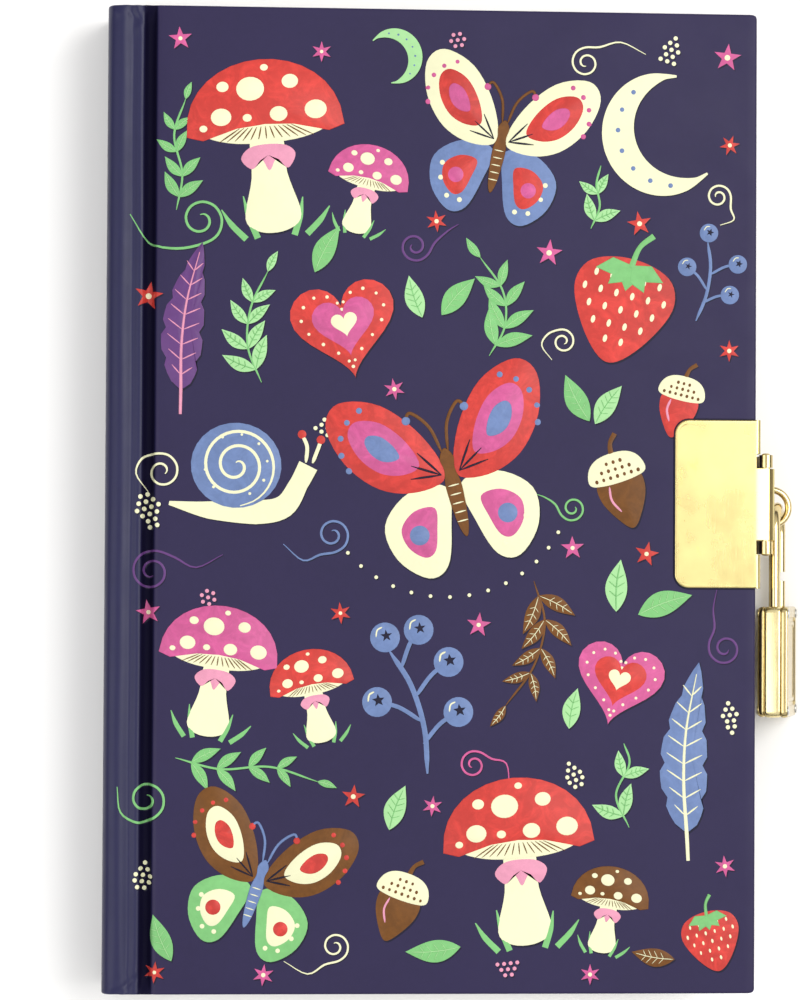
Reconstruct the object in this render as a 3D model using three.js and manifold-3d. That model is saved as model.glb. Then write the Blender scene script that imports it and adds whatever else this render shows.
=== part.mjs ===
// A lockable hardcover diary, lying on its back cover.
// Frame: millimetres, +Z up out of the front cover, +X from the spine to the fore edge, +Y from tail to head.
// Origin: middle of the back cover's outer face.
import * as THREE from 'three';
import { mergeVertices } from 'three/addons/utils/BufferGeometryUtils.js';
import Module from 'manifold-3d';

const wasm = await Module();
wasm.setup();

// ---------- driving dimensions (mm) ----------
const BOOK_W = 118; // spine to fore edge
const BOOK_H = 178; // tail to head
const BOOK_T = 18.4; // outside of the back cover to outside of the front cover
const E = BOOK_W / 2; // fore edge of the boards
const BOARD_T = 2.3; // greyboard thickness
const WRAP_T = 0.2; // printed covering paper
const GAP = 0.03; // hairline between sheets that lie on each other
const JOINT_X = -50; // hinge edge of the cover boards
const GROOVE_X = -51.8; // middle of the groove beside the spine
const SQUARE = 3; // how far the boards stand past the leaves
const TURN_IN = 12; // covering paper folded over inside the board
const LEAF_E = E - SQUARE; // fore edge of the leaves
const LEAF_H = BOOK_H / 2 - SQUARE; // half height of the leaves
const STUB_X = -50.25; // glued backs of the sections end here
const BACK_X = -53.3; // back of the sewn sections
const BLOCK_LO = 2.95; // underside of the lowest leaf
const BLOCK_HI = 15.45; // top of the highest leaf
const SECTIONS = 8;
const SECTION_GAP = 0.05;
const FLYLEAF_T = 0.15;

const CLASP_Y = -0.36; // middle of the clasp along the fore edge
const SHEET = 0.45; // brass sheet
const PLATE_W = 14.9; // from the fore edge onto the cover
const PLATE_HALF = 15.3; // half length of the plates
const NOTCH_HALF = 9.15; // outer ends of the two notches
const TONGUE_HALF = 6.5; // half width of the rolled tongue
const FLANGE_H = 2.95; // plate edge bent down over the board
const FLANGE_GAP = 0.42; // the flanges are bent over with a wide curve, clear of the board
const KNUCKLE_R = 1.6; // outside of the rolled tongue
const PIN_R = 0.8;
const PIN_X = E + 2;
const PIN_Z = BOOK_T + SHEET - KNUCKLE_R;
const EAR_R = 1.25; // flap's ears around the pin
const FLAP_T = 0.6;
const FLAP_L = 13.6; // pin to the flap's free end
const SLOT_NEAR = 8.2; // pin to the near end of the flap's slot
const SLOT_FAR = 11.65;
const TAB_TOP = 10.4; // top of the back plate's upright tab

const STAPLE_X = E + 4.45; // middle of the staple's round end
const STAPLE_Y = -0.7;
const STAPLE_Z = 8.2;
const STAPLE_R = 3.3; // wire centre
const STAPLE_WIRE = 0.63; // wire radius

const LOCK_X = E + 5.67; // padlock middle plane
const LOCK_Y = -29.07;
const LOCK_Z = 8.2;
const LOCK_LEAN = -16; // degrees about Y, top towards the book
const CASE_H = 20.3;
const CASE_W = 15.6;
const BAND_HALF = 1.5; // half thickness of the middle band
const SHELL_T = 1.28;
const LEG_R = 1;
const LEG_U = 4.7; // half distance of the shackle's legs
const BORE_R = 1.08;
const RAISED = 8.5; // the shackle stands this far out of its locked place
const APEX_V = 28.37; // shackle's wire centre at its bow, from the middle of the case
const TOE_END = CASE_H / 2 - 0.3;
const HEEL_END = CASE_H / 2 - 4.5;
const PLUG_R = 1.15;

// ---------- materials ----------
const mat = (color, roughness, metalness) => new THREE.MeshStandardMaterial({ color, roughness, metalness });
const M = {
  cover: mat(0x2f2c55, 0.45, 0),
  board: mat(0x9a8f80, 0.9, 0),
  paper: mat(0xf6f1e2, 0.85, 0),
  endpaper: mat(0xe9d9d2, 0.8, 0),
  cloth: mat(0xe8e4d8, 0.9, 0),
  band: mat(0xc94040, 0.8, 0),
  brass: mat(0xe6cf86, 0.25, 1),
  lockBrass: mat(0xd2ac4e, 0.28, 1),
  steel: mat(0xb8b8b4, 0.35, 1),
};

// ---------- solids ----------
function solid(geometry) {
  const g = geometry.clone();
  g.deleteAttribute('normal');
  g.deleteAttribute('uv');
  const m = mergeVertices(g, 1e-4);
  return new wasm.Manifold(
    new wasm.Mesh({
      numProp: 3,
      vertProperties: new Float32Array(m.attributes.position.array),
      triVerts: new Uint32Array(m.index.array),
    }),
  );
}
function geometryOf(s) {
  const m = s.getMesh();
  const g = new THREE.BufferGeometry();
  g.setAttribute('position', new THREE.BufferAttribute(new Float32Array(m.vertProperties), 3));
  g.setIndex(new THREE.BufferAttribute(new Uint32Array(m.triVerts), 1));
  g.computeVertexNormals();
  return g;
}
// a block between two corners
function block(x0, y0, z0, x1, y1, z1) {
  const g = new THREE.BoxGeometry(x1 - x0, y1 - y0, z1 - z0);
  g.translate((x0 + x1) / 2, (y0 + y1) / 2, (z0 + z1) / 2);
  return solid(g);
}
// an outline in X and Y, raised along Z
function prismZ(points, z0, z1) {
  const shape = new THREE.Shape(points.map(([x, y]) => new THREE.Vector2(x, y)));
  const g = new THREE.ExtrudeGeometry(shape, { depth: z1 - z0, bevelEnabled: false });
  g.translate(0, 0, z0);
  return solid(g);
}
// an outline in X and Z, drawn out along Y
function prismY(points, y0, y1) {
  const shape = new THREE.Shape(points.map(([x, z]) => new THREE.Vector2(x, z)));
  const g = new THREE.ExtrudeGeometry(shape, { depth: y1 - y0, bevelEnabled: false });
  g.rotateX(Math.PI / 2);
  g.translate(0, y1, 0);
  return solid(g);
}
// an outline in Y and Z, drawn out along X
function prismX(points, x0, x1) {
  const shape = new THREE.Shape(points.map(([y, z]) => new THREE.Vector2(y, z)));
  const g = new THREE.ExtrudeGeometry(shape, { depth: x1 - x0, bevelEnabled: false });
  g.rotateX(Math.PI / 2);
  g.rotateZ(Math.PI / 2);
  g.translate(x0, 0, 0);
  return solid(g);
}
// a round bar along Y
function barY(x, z, r, y0, y1, sides = 24) {
  const g = new THREE.CylinderGeometry(r, r, y1 - y0, sides);
  g.translate(x, (y0 + y1) / 2, z);
  return solid(g);
}
// a round bar along X
function barX(y, z, r, x0, x1, sides = 16) {
  const g = new THREE.CylinderGeometry(r, r, x1 - x0, sides);
  g.rotateZ(Math.PI / 2);
  g.translate((x0 + x1) / 2, y, z);
  return solid(g);
}
// a rounded rectangle's outline
function rounded(x0, y0, x1, y1, radii, steps = 5) {
  const [r00, r10, r11, r01] = radii;
  const out = [];
  const corner = (cx, cy, r, a0) => {
    if (!r) return out.push([cx, cy]);
    for (let i = 0; i <= steps; i++) {
      const a = a0 + (Math.PI / 2) * (i / steps);
      out.push([cx + r * Math.cos(a), cy + r * Math.sin(a)]);
    }
  };
  corner(x0 + r00, y0 + r00, r00, Math.PI);
  corner(x1 - r10, y0 + r10, r10, 1.5 * Math.PI);
  corner(x1 - r11, y1 - r11, r11, 0);
  corner(x0 + r01, y1 - r01, r01, 0.5 * Math.PI);
  return out;
}
// wire along a path of points
function wire(points, r, sides = 12) {
  const curve = new THREE.CatmullRomCurve3(points, false, 'centripetal');
  const shape = new THREE.Shape();
  for (let i = 0; i < sides; i++) {
    const a = (2 * Math.PI * i) / sides;
    const p = [r * Math.cos(a), r * Math.sin(a)];
    if (i) shape.lineTo(...p);
    else shape.moveTo(...p);
  }
  shape.closePath();
  return solid(new THREE.ExtrudeGeometry(shape, { steps: points.length * 2, extrudePath: curve, bevelEnabled: false }));
}

const diary = new THREE.Group();
diary.name = 'secret_diary';
const book = new THREE.Group();
const lock = new THREE.Group();
diary.add(book, lock);
lock.position.set(LOCK_X, LOCK_Y, LOCK_Z);
lock.rotation.y = THREE.MathUtils.degToRad(LOCK_LEAN);

function add(group, name, s, material) {
  const mesh = new THREE.Mesh(geometryOf(s), material.clone());
  mesh.name = name;
  group.add(mesh);
  return mesh;
}

// ---------- covers: board, covering paper with its turn-ins, pastedown ----------
function cover(name, outer, pocket) {
  // outer is the outside height; everything else is measured inwards from it
  const inwards = outer > BOOK_T / 2 ? -1 : 1;
  const at = (d) => outer + inwards * d;
  const slab = (x0, y0, d0, x1, y1, d1) =>
    block(x0, y0, Math.min(at(d0), at(d1)), x1, y1, Math.max(at(d0), at(d1)));
  const h = BOOK_H / 2;
  const board = slab(
    JOINT_X + GAP,
    -h + WRAP_T + GAP,
    WRAP_T + GAP,
    E - WRAP_T - GAP,
    h - WRAP_T - GAP,
    WRAP_T + BOARD_T - GAP,
  );
  add(book, `${name}_board`, pocket ? board.subtract(pocket) : board, M.board);
  const depth = WRAP_T + BOARD_T + 0.15;
  const wrap = slab(JOINT_X, -h, 0, E, h, depth)
    .subtract(slab(JOINT_X - 1, -h + WRAP_T, WRAP_T, E - WRAP_T, h - WRAP_T, WRAP_T + BOARD_T))
    .subtract(slab(JOINT_X - 1, -h + TURN_IN, WRAP_T + BOARD_T - 0.1, E - TURN_IN, h - TURN_IN, depth + 1));
  add(book, `${name}_cover_paper`, pocket ? wrap.subtract(pocket) : wrap, M.cover);
  add(
    book,
    `${name}_pastedown`,
    slab(JOINT_X + 0.3, -LEAF_H - 0.4, depth + GAP, LEAF_E + 0.4, LEAF_H + 0.4, depth + GAP + 0.15),
    M.endpaper,
  );
}
cover('front', BOOK_T);
// the back plate lies in a shallow pocket, so the diary rests flat
cover(
  'back',
  0,
  prismZ(
    rounded(E - PLATE_W - 0.1, CLASP_Y - PLATE_HALF - 0.1, E + 2, CLASP_Y + PLATE_HALF + 0.1, [2.6, 0, 0, 2.6]),
    -1,
    SHEET,
  ),
);

// ---------- spine: paper over the spine board, ending in the two grooves ----------
const upper = [
  [-50.3, 17.75],
  [-50.75, 16.75],
  [-51.8, 16.2],
  [-52.85, 16.6],
  [-53.5, 17.55],
  [-54.4, 18.1],
  [-55.9, 18.3],
  [-57.3, 18.15],
  [-58.3, 17.6],
  [-58.85, 16.7],
  [-59, 15.5],
];
const inner = [
  [-50.3, 17.25],
  [-50.45, 16.5],
  [-51.8, 15.75],
  [-53.2, 16.25],
  [-53.9, 17.3],
  [-54.6, 17.75],
  [-55.9, 17.9],
  [-57.1, 17.75],
  [-58.0, 17.3],
  [-58.45, 16.5],
  [-58.6, 15.5],
];
const low = (list) => list.map(([x, z]) => [x, BOOK_T - z]);
const spineOutline = [...upper, ...low(upper).reverse(), ...low(inner), ...[...inner].reverse()];
add(book, 'spine_cover_paper', prismY(spineOutline, -BOOK_H / 2 + 0.05, BOOK_H / 2 - 0.05), M.cover);
add(
  book,
  'spine_board',
  prismY(
    [
      [-58.57, 2.9],
      [-56.3, 1.2],
      [-56.3, BOOK_T - 1.2],
      [-58.57, BOOK_T - 2.9],
    ],
    -BOOK_H / 2 + 0.4,
    BOOK_H / 2 - 0.4,
  ),
  M.board,
);

// ---------- leaves: eight sewn sections, a flyleaf at each end, glued backs, lining and bands ----------
const pitch = (BLOCK_HI - BLOCK_LO - 2 * (FLYLEAF_T + SECTION_GAP)) / SECTIONS;
const leafX = STUB_X + 0.35; // turning leaves start beside the glued backs
add(book, 'front_flyleaf', block(leafX, -LEAF_H, BLOCK_HI - FLYLEAF_T, LEAF_E, LEAF_H, BLOCK_HI), M.endpaper);
for (let i = 0; i < SECTIONS; i++) {
  const top = BLOCK_HI - FLYLEAF_T - SECTION_GAP - i * pitch;
  add(
    book,
    `page_section_${i + 1}`,
    block(i < 3 ? leafX : STUB_X + 0.05, -LEAF_H, top - pitch + SECTION_GAP, LEAF_E, LEAF_H, top),
    M.paper,
  );
}
add(
  book,
  'back_flyleaf',
  block(STUB_X + 0.05, -LEAF_H, BLOCK_LO, LEAF_E, LEAF_H, BLOCK_LO + FLYLEAF_T),
  M.endpaper,
);
add(
  book,
  'sewn_backs',
  prismY(
    [
      [BACK_X + 0.5, BLOCK_LO],
      [STUB_X, BLOCK_LO],
      [STUB_X, BLOCK_HI],
      [BACK_X + 0.5, BLOCK_HI],
      [BACK_X, BLOCK_HI - 0.6],
      [BACK_X, BLOCK_LO + 0.6],
    ],
    -LEAF_H,
    LEAF_H,
  ),
  M.paper,
);
add(
  book,
  'spine_lining',
  block(BACK_X - 0.4, -LEAF_H + 6, BLOCK_LO + 0.7, BACK_X - GAP, LEAF_H - 6, BLOCK_HI - 0.7),
  M.cloth,
);
for (const [name, side] of [
  ['head_band', 1],
  ['tail_band', -1],
]) {
  const g = new THREE.CylinderGeometry(0.65, 0.65, BLOCK_HI - BLOCK_LO - 1.2, 12);
  g.rotateX(Math.PI / 2);
  g.translate(BACK_X + 0.55, side * (LEAF_H + 0.72), (BLOCK_LO + BLOCK_HI) / 2);
  add(book, name, solid(g), M.band);
}

// ---------- front plate: sheet on the cover, two flanges over the board's edge, a tongue rolled round the pin ----------
const topZ = BOOK_T + SHEET;
const plateX = E - PLATE_W;
const plateOutline = (x1) => rounded(plateX, CLASP_Y - PLATE_HALF, x1, CLASP_Y + PLATE_HALF, [2.6, 0, 0, 2.6]);
const flangeX0 = E + FLANGE_GAP;
const flangeX1 = E + FLANGE_GAP + SHEET;
let frontPlate = prismZ(plateOutline(flangeX1), BOOK_T + GAP, topZ);
for (const [y0, y1] of [
  [-PLATE_HALF, -NOTCH_HALF],
  [NOTCH_HALF, PLATE_HALF],
])
  frontPlate = frontPlate.add(block(flangeX0, CLASP_Y + y0, topZ - FLANGE_H, flangeX1, CLASP_Y + y1, topZ - 0.01));
for (const [y0, y1] of [
  [-NOTCH_HALF, -TONGUE_HALF],
  [TONGUE_HALF, NOTCH_HALF],
])
  frontPlate = frontPlate.subtract(block(E - 0.1, CLASP_Y + y0, BOOK_T - 1, flangeX1 + 1, CLASP_Y + y1, topZ + 1));
frontPlate = frontPlate
  .add(block(E - 0.2, CLASP_Y - TONGUE_HALF, BOOK_T + GAP, PIN_X, CLASP_Y + TONGUE_HALF, topZ))
  .add(barY(PIN_X, PIN_Z, KNUCKLE_R, CLASP_Y - TONGUE_HALF, CLASP_Y + TONGUE_HALF, 32))
  .subtract(barY(PIN_X, PIN_Z, PIN_R + 0.03, CLASP_Y - TONGUE_HALF - 1, CLASP_Y + TONGUE_HALF + 1, 32));
add(book, 'front_plate', frontPlate, M.brass);

add(
  book,
  'hasp_pin',
  barY(PIN_X, PIN_Z, PIN_R, CLASP_Y - NOTCH_HALF + 0.05, CLASP_Y + NOTCH_HALF - 0.05, 32),
  M.brass,
);

// ---------- hasp flap: two ears on the pin, a plate hanging down the fore edge, a slot that drops over the staple ----------
const flapHalf = NOTCH_HALF - 0.15;
const earIn = TONGUE_HALF + 0.2;
let flap = prismX(
  rounded(CLASP_Y - flapHalf, PIN_Z - FLAP_L, CLASP_Y + flapHalf, PIN_Z, [2.2, 2.2, 0, 0]),
  PIN_X - FLAP_T / 2,
  PIN_X + FLAP_T / 2,
).subtract(block(E, CLASP_Y - earIn, PIN_Z - KNUCKLE_R - 0.45, E + 5, CLASP_Y + earIn, PIN_Z + 3));
for (const [y0, y1] of [
  [-flapHalf, -earIn],
  [earIn, flapHalf],
])
  flap = flap.add(barY(PIN_X, PIN_Z, EAR_R, CLASP_Y + y0, CLASP_Y + y1, 32));
flap = flap
  .subtract(barY(PIN_X, PIN_Z, PIN_R + 0.05, CLASP_Y - 12, CLASP_Y + 12, 32))
  .subtract(
    prismX(
      rounded(STAPLE_Y - 4.1, PIN_Z - SLOT_FAR, STAPLE_Y + 4.1, PIN_Z - SLOT_NEAR, [1, 1, 1, 1], 4),
      E,
      E + 5,
    ),
  );
add(book, 'hasp_flap', flap, M.brass);

// ---------- back plate: as the front one but let in flush, with an upright tab that carries the staple ----------
let backPlate = prismZ(plateOutline(flangeX1), 0, SHEET - GAP);
for (const [y0, y1] of [
  [-PLATE_HALF, -NOTCH_HALF],
  [NOTCH_HALF, PLATE_HALF],
])
  backPlate = backPlate.add(block(flangeX0, CLASP_Y + y0, 0.01, flangeX1, CLASP_Y + y1, FLANGE_H - SHEET));
backPlate = backPlate
  .add(
    prismX(
      rounded(CLASP_Y - TONGUE_HALF, 0.01, CLASP_Y + TONGUE_HALF, TAB_TOP, [0, 0, 1.8, 1.8]),
      E + 0.1,
      E + 0.65,
    ),
  )
  .add(block(E - 0.2, CLASP_Y - TONGUE_HALF, 0, E + 0.65, CLASP_Y + TONGUE_HALF, SHEET - GAP))
  .subtract(barX(STAPLE_Y - STAPLE_R, STAPLE_Z, STAPLE_WIRE + 0.05, E - 1, E + 2))
  .subtract(barX(STAPLE_Y + STAPLE_R, STAPLE_Z, STAPLE_WIRE + 0.05, E - 1, E + 2));
add(book, 'back_plate', backPlate, M.brass);

// ---------- staple: a bent wire whose two legs pass through the tab and are peened behind it ----------
const staplePoints = [];
for (const x of [E - 0.25, E + 1.2]) staplePoints.push(new THREE.Vector3(x, STAPLE_Y - STAPLE_R, STAPLE_Z));
for (let i = 0; i <= 12; i++) {
  const a = -Math.PI / 2 + (Math.PI * i) / 12;
  staplePoints.push(
    new THREE.Vector3(STAPLE_X + STAPLE_R * Math.cos(a), STAPLE_Y + STAPLE_R * Math.sin(a), STAPLE_Z),
  );
}
for (const x of [E + 1.2, E - 0.25]) staplePoints.push(new THREE.Vector3(x, STAPLE_Y + STAPLE_R, STAPLE_Z));
const staple = wire(staplePoints, STAPLE_WIRE)
  .add(barX(STAPLE_Y - STAPLE_R, STAPLE_Z, 1, E - 0.4, E + 0.05, 12))
  .add(barX(STAPLE_Y + STAPLE_R, STAPLE_Z, 1, E - 0.4, E + 0.05, 12));
add(book, 'ring_staple', staple, M.lockBrass);

// ---------- padlock, in its own frame: X through its thickness, Y along the shackle's legs, Z across ----------
const caseTop = CASE_H / 2;
const caseHalf = CASE_W / 2;
const windowTop = caseTop - 1.95;
const windowLow = -caseTop + 3.25;
const barV = (w, u, r, v0, v1, sides = 24) => barY(w, u, r, v0, v1, sides);
const caseOutline = (inset, r, steps = 4) =>
  rounded(-caseTop + inset, -caseHalf + inset, caseTop - inset, caseHalf - inset, [r, r, r, r], steps);
const rivetAt = [
  [caseTop - 1.3, 6.75],
  [caseTop - 1.3, -6.75],
  [-caseTop + 1.3, 6.75],
  [-caseTop + 1.3, -6.75],
];
const drill = (s, r) => rivetAt.reduce((t, [v, u]) => t.subtract(barX(v, u, r, -5, 5, 12)), s);

let band = prismX(caseOutline(0, 1.2), -BAND_HALF, BAND_HALF)
  .subtract(block(-5, windowLow, -6.3, 5, windowTop, 6.3))
  .subtract(barV(0, LEG_U, BORE_R, windowTop - 1, caseTop + 1))
  .subtract(barV(0, -LEG_U, BORE_R, windowTop - 1, caseTop + 1))
  .subtract(barV(0, 0, PLUG_R + 0.05, -caseTop - 1, windowLow + 1));
add(lock, 'case_band', drill(band, 0.55), M.lockBrass);

for (const [name, side] of [
  ['case_outer_shell', 1],
  ['case_inner_shell', -1],
]) {
  const near = BAND_HALF + GAP;
  const far = BAND_HALF + SHELL_T;
  const slabX = (outline, a, b) => prismX(outline, Math.min(side * a, side * b), Math.max(side * a, side * b));
  const shell = slabX(caseOutline(0, 1.2), near, far - 0.35)
    .add(slabX(caseOutline(0.35, 1), far - 0.4, far))
    .subtract(slabX(caseOutline(2.2, 0.8), far - 0.25, far + 1))
    .subtract(slabX(rounded(windowLow, -6.3, windowTop, 6.3, [0.5, 0.5, 0.5, 0.5], 2), near - 1, near + 0.35));
  add(lock, name, drill(shell, 0.55), M.lockBrass);
}
rivetAt.forEach(([v, u], i) => {
  const far = BAND_HALF + SHELL_T;
  const rivet = barX(v, u, 0.5, -far - 0.1, far + 0.1, 12)
    .add(barX(v, u, 0.85, far + 0.02, far + 0.25, 12))
    .add(barX(v, u, 0.85, -far - 0.25, -far - 0.02, 12));
  add(lock, `case_rivet_${i + 1}`, rivet, M.steel);
});

// the shackle stands raised: its toe has just left the case, its heel is held inside
const bowV = APEX_V - LEG_U;
const shacklePoints = [];
for (const v of [HEEL_END, 12, 18]) shacklePoints.push(new THREE.Vector3(0, v, LEG_U));
for (let i = 0; i <= 16; i++) {
  const a = (Math.PI * i) / 16;
  shacklePoints.push(new THREE.Vector3(0, bowV + LEG_U * Math.sin(a), LEG_U * Math.cos(a)));
}
for (const v of [18, 12, TOE_END]) shacklePoints.push(new THREE.Vector3(0, v, -LEG_U));
const shackle = wire(shacklePoints, LEG_R, 14).subtract(
  block(0.05, TOE_END + 5, -LEG_U - 2, 3, TOE_END + 6.7, -LEG_U + 2),
);
add(lock, 'padlock_shackle', shackle, M.lockBrass);

// lock core between the legs, with the plug's bore and the latch's groove
const core = block(-BAND_HALF + GAP, windowLow + GAP, -3.3, BAND_HALF - GAP, 5.9, 3.3)
  .subtract(barV(0, 0, PLUG_R + 0.05, windowLow - 1, -3))
  .subtract(barV(0, 0, 1.45, -3.05, -1.9))
  .subtract(block(0.05, -3.05, -1.8, 3, 7, 1.8));
add(lock, 'lock_core', core, M.steel);

// plug: turned by the key, its crank pin drives the latch
const plug = barV(0, 0, PLUG_R, -caseTop, -2.9)
  .add(barV(0, 0, 1.38, -3.03, -2.86))
  .add(barV(0.75, 0.75, 0.28, -2.95, -2.1, 12))
  .subtract(block(-0.25, -caseTop - 1, -0.85, 0.25, -caseTop + 5, 0.85));
add(lock, 'key_plug', plug, M.lockBrass);

// latch: a flat plate whose head slides into the notch of the shackle's toe leg
const latch = block(0.15, 6.5, -3.6, 0.7, 7.9, 1.6)
  .add(block(0.15, -2.8, 0, 0.7, 7, 1.6))
  .subtract(block(-1, -3.5, 0.38, 3, -1.9, 1.12));
add(lock, 'latch_plate', latch, M.steel);

// spring under the shackle's heel
const springPoints = [];
const turns = 6;
const springLow = windowLow + 0.3;
const springHigh = HEEL_END - 0.3;
for (let i = 0; i <= turns * 8; i++) {
  const a = (2 * Math.PI * i) / 8;
  springPoints.push(
    new THREE.Vector3(
      0.8 * Math.cos(a),
      springLow + ((springHigh - springLow) * i) / (turns * 8),
      LEG_U + 0.8 * Math.sin(a),
    ),
  );
}
{
  const curve = new THREE.CatmullRomCurve3(springPoints);
  const shape = new THREE.Shape();
  for (let i = 0; i < 6; i++) {
    const a = (2 * Math.PI * i) / 6;
    const p = [0.18 * Math.cos(a), 0.18 * Math.sin(a)];
    if (i) shape.lineTo(...p);
    else shape.moveTo(...p);
  }
  shape.closePath();
  add(
    lock,
    'shackle_spring',
    solid(new THREE.ExtrudeGeometry(shape, { steps: turns * 10, extrudePath: curve, bevelEnabled: false })),
    M.steel,
  );
}

export default diary;
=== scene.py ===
import math
import random

import bmesh
import bpy
import numpy as np
from mathutils import Matrix, Vector


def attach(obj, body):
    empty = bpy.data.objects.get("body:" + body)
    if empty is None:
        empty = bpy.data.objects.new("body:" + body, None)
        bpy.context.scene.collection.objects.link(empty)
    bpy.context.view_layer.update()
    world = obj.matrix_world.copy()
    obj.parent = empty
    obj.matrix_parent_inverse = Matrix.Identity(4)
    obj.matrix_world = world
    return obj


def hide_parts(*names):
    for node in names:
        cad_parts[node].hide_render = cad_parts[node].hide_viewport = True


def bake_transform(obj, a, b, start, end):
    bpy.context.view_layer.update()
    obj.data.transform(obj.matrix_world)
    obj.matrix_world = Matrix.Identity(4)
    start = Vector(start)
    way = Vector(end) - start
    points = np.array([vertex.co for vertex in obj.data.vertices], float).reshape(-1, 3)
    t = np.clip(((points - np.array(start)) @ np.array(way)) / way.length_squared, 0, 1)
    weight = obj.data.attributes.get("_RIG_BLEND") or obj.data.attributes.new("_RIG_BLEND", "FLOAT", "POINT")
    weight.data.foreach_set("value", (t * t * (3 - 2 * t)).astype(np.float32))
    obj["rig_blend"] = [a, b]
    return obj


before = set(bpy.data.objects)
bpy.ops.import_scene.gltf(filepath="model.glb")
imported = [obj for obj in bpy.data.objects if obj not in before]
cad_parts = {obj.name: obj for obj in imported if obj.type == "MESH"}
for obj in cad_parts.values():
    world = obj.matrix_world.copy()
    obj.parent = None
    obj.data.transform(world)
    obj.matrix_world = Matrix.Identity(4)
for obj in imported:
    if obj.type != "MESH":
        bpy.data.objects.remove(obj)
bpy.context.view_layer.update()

MM = 0.001
scene = bpy.context.scene

# ---------- sizes, in millimetres, as in the CAD model ----------
E = 59.0  # fore edge of the boards
HALF = 89.0  # half height of the boards
BOOK_T = 18.4
JOINT_X = -50.0
LEAF_E = 56.0
LEAF_H = 86.0
STUB_X = -50.25
BLOCK_LO, BLOCK_HI = 2.95, 15.45
SECTIONS = 8
CLASP_Y = -0.36
PIN_X, PIN_Z = 61.0, 17.25
STAPLE_X, STAPLE_Y, STAPLE_Z, STAPLE_R = 63.45, -0.7, 8.2, 3.3
CASE_H, CASE_W = 20.3, 15.6
LOCK = Matrix.Translation((64.67, -29.07, 8.2)) @ Matrix.Rotation(math.radians(-16), 4, "Y")
FRONT_BEND = ((-0.0534, 0, 0), (-0.0501, 0, 0))


# ---------- mesh helpers: everything is made in millimetres and scaled at the end ----------
def new_object(name, verts, faces, materials, indices=None, smooth=True):
    mesh = bpy.data.meshes.new(name)
    mesh.from_pydata([tuple(v) for v in verts], [], [tuple(f) for f in faces])
    for m in materials:
        mesh.materials.append(m)
    if indices is not None:
        mesh.polygons.foreach_set("material_index", indices)
    mesh.polygons.foreach_set("use_smooth", [smooth] * len(mesh.polygons))
    mesh.update()
    obj = bpy.data.objects.new(name, mesh)
    scene.collection.objects.link(obj)
    return obj


def baked(obj, *modifiers):
    """obj with these modifiers applied, in millimetres still."""
    for kind, settings in modifiers:
        m = obj.modifiers.new(kind.lower(), kind)
        for key, value in settings.items():
            setattr(m, key, value)
    depsgraph = bpy.context.evaluated_depsgraph_get()
    mesh = bpy.data.meshes.new_from_object(obj.evaluated_get(depsgraph), depsgraph=depsgraph)
    obj.modifiers.clear()
    obj.data = mesh
    return obj


def bevelled(obj, width, segments=2, angle=35):
    baked(
        obj,
        (
            "BEVEL",
            dict(
                width=width,
                segments=segments,
                limit_method="ANGLE",
                angle_limit=math.radians(angle),
                use_clamp_overlap=True,
                harden_normals=False,
            ),
        ),
    )
    obj.data.polygons.foreach_set("use_smooth", [True] * len(obj.data.polygons))
    baked(obj, ("WEIGHTED_NORMAL", dict(keep_sharp=True, weight=50)))
    return obj


def placed(obj, body=None, replaces=(), bend=None):
    obj.data.transform(Matrix.Scale(MM, 4))
    if body:
        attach(obj, body)
    if bend:
        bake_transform(obj, *bend)
    if replaces:
        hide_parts(*replaces)
    return obj


def weld(obj, distance=1e-4):
    bm = bmesh.new()
    bm.from_mesh(obj.data)
    bmesh.ops.remove_doubles(bm, verts=bm.verts, dist=distance)
    bmesh.ops.recalc_face_normals(bm, faces=bm.faces)
    bm.to_mesh(obj.data)
    bm.free()
    return obj


def copy_of(node, name, materials, flat=1.0):
    """A copy of a CAD node's mesh in millimetres, its flat faces joined, ready for a bevel."""
    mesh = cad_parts[node].data.copy()
    mesh.name = name
    mesh.transform(Matrix.Scale(1 / MM, 4))
    mesh.materials.clear()
    for m in materials:
        mesh.materials.append(m)
    for key in list(mesh.attributes.keys()):
        a = mesh.attributes.get(key)
        if a and not a.is_internal and not a.is_required and key in ("custom_normal",):
            mesh.attributes.remove(a)
    bm = bmesh.new()
    bm.from_mesh(mesh)
    bmesh.ops.remove_doubles(bm, verts=bm.verts, dist=1e-3)
    bmesh.ops.dissolve_limit(
        bm,
        angle_limit=math.radians(flat),
        verts=bm.verts,
        edges=bm.edges,
        use_dissolve_boundaries=False,
    )
    bmesh.ops.recalc_face_normals(bm, faces=bm.faces)
    bm.to_mesh(mesh)
    bm.free()
    obj = bpy.data.objects.new(name, mesh)
    scene.collection.objects.link(obj)
    return obj


def smooth_line(points, steps=8, closed=False):
    """Catmull-Rom through the points."""
    p = [Vector(q) for q in points]
    n = len(p)
    out = []
    for i in range(n if closed else n - 1):
        if closed:
            a, b, c, d = p[i - 1], p[i], p[(i + 1) % n], p[(i + 2) % n]
        else:
            b, c = p[i], p[i + 1]
            a = p[i - 1] if i else b + (b - c)
            d = p[i + 2] if i + 2 < n else c + (c - b)
        for k in range(steps):
            t = k / steps
            out.append(
                0.5
                * (2 * b + (c - a) * t + (2 * a - 5 * b + 4 * c - d) * t * t + (3 * b - a - 3 * c + d) * t**3)
            )
    if not closed:
        out.append(p[-1].copy())
    return out


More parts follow.
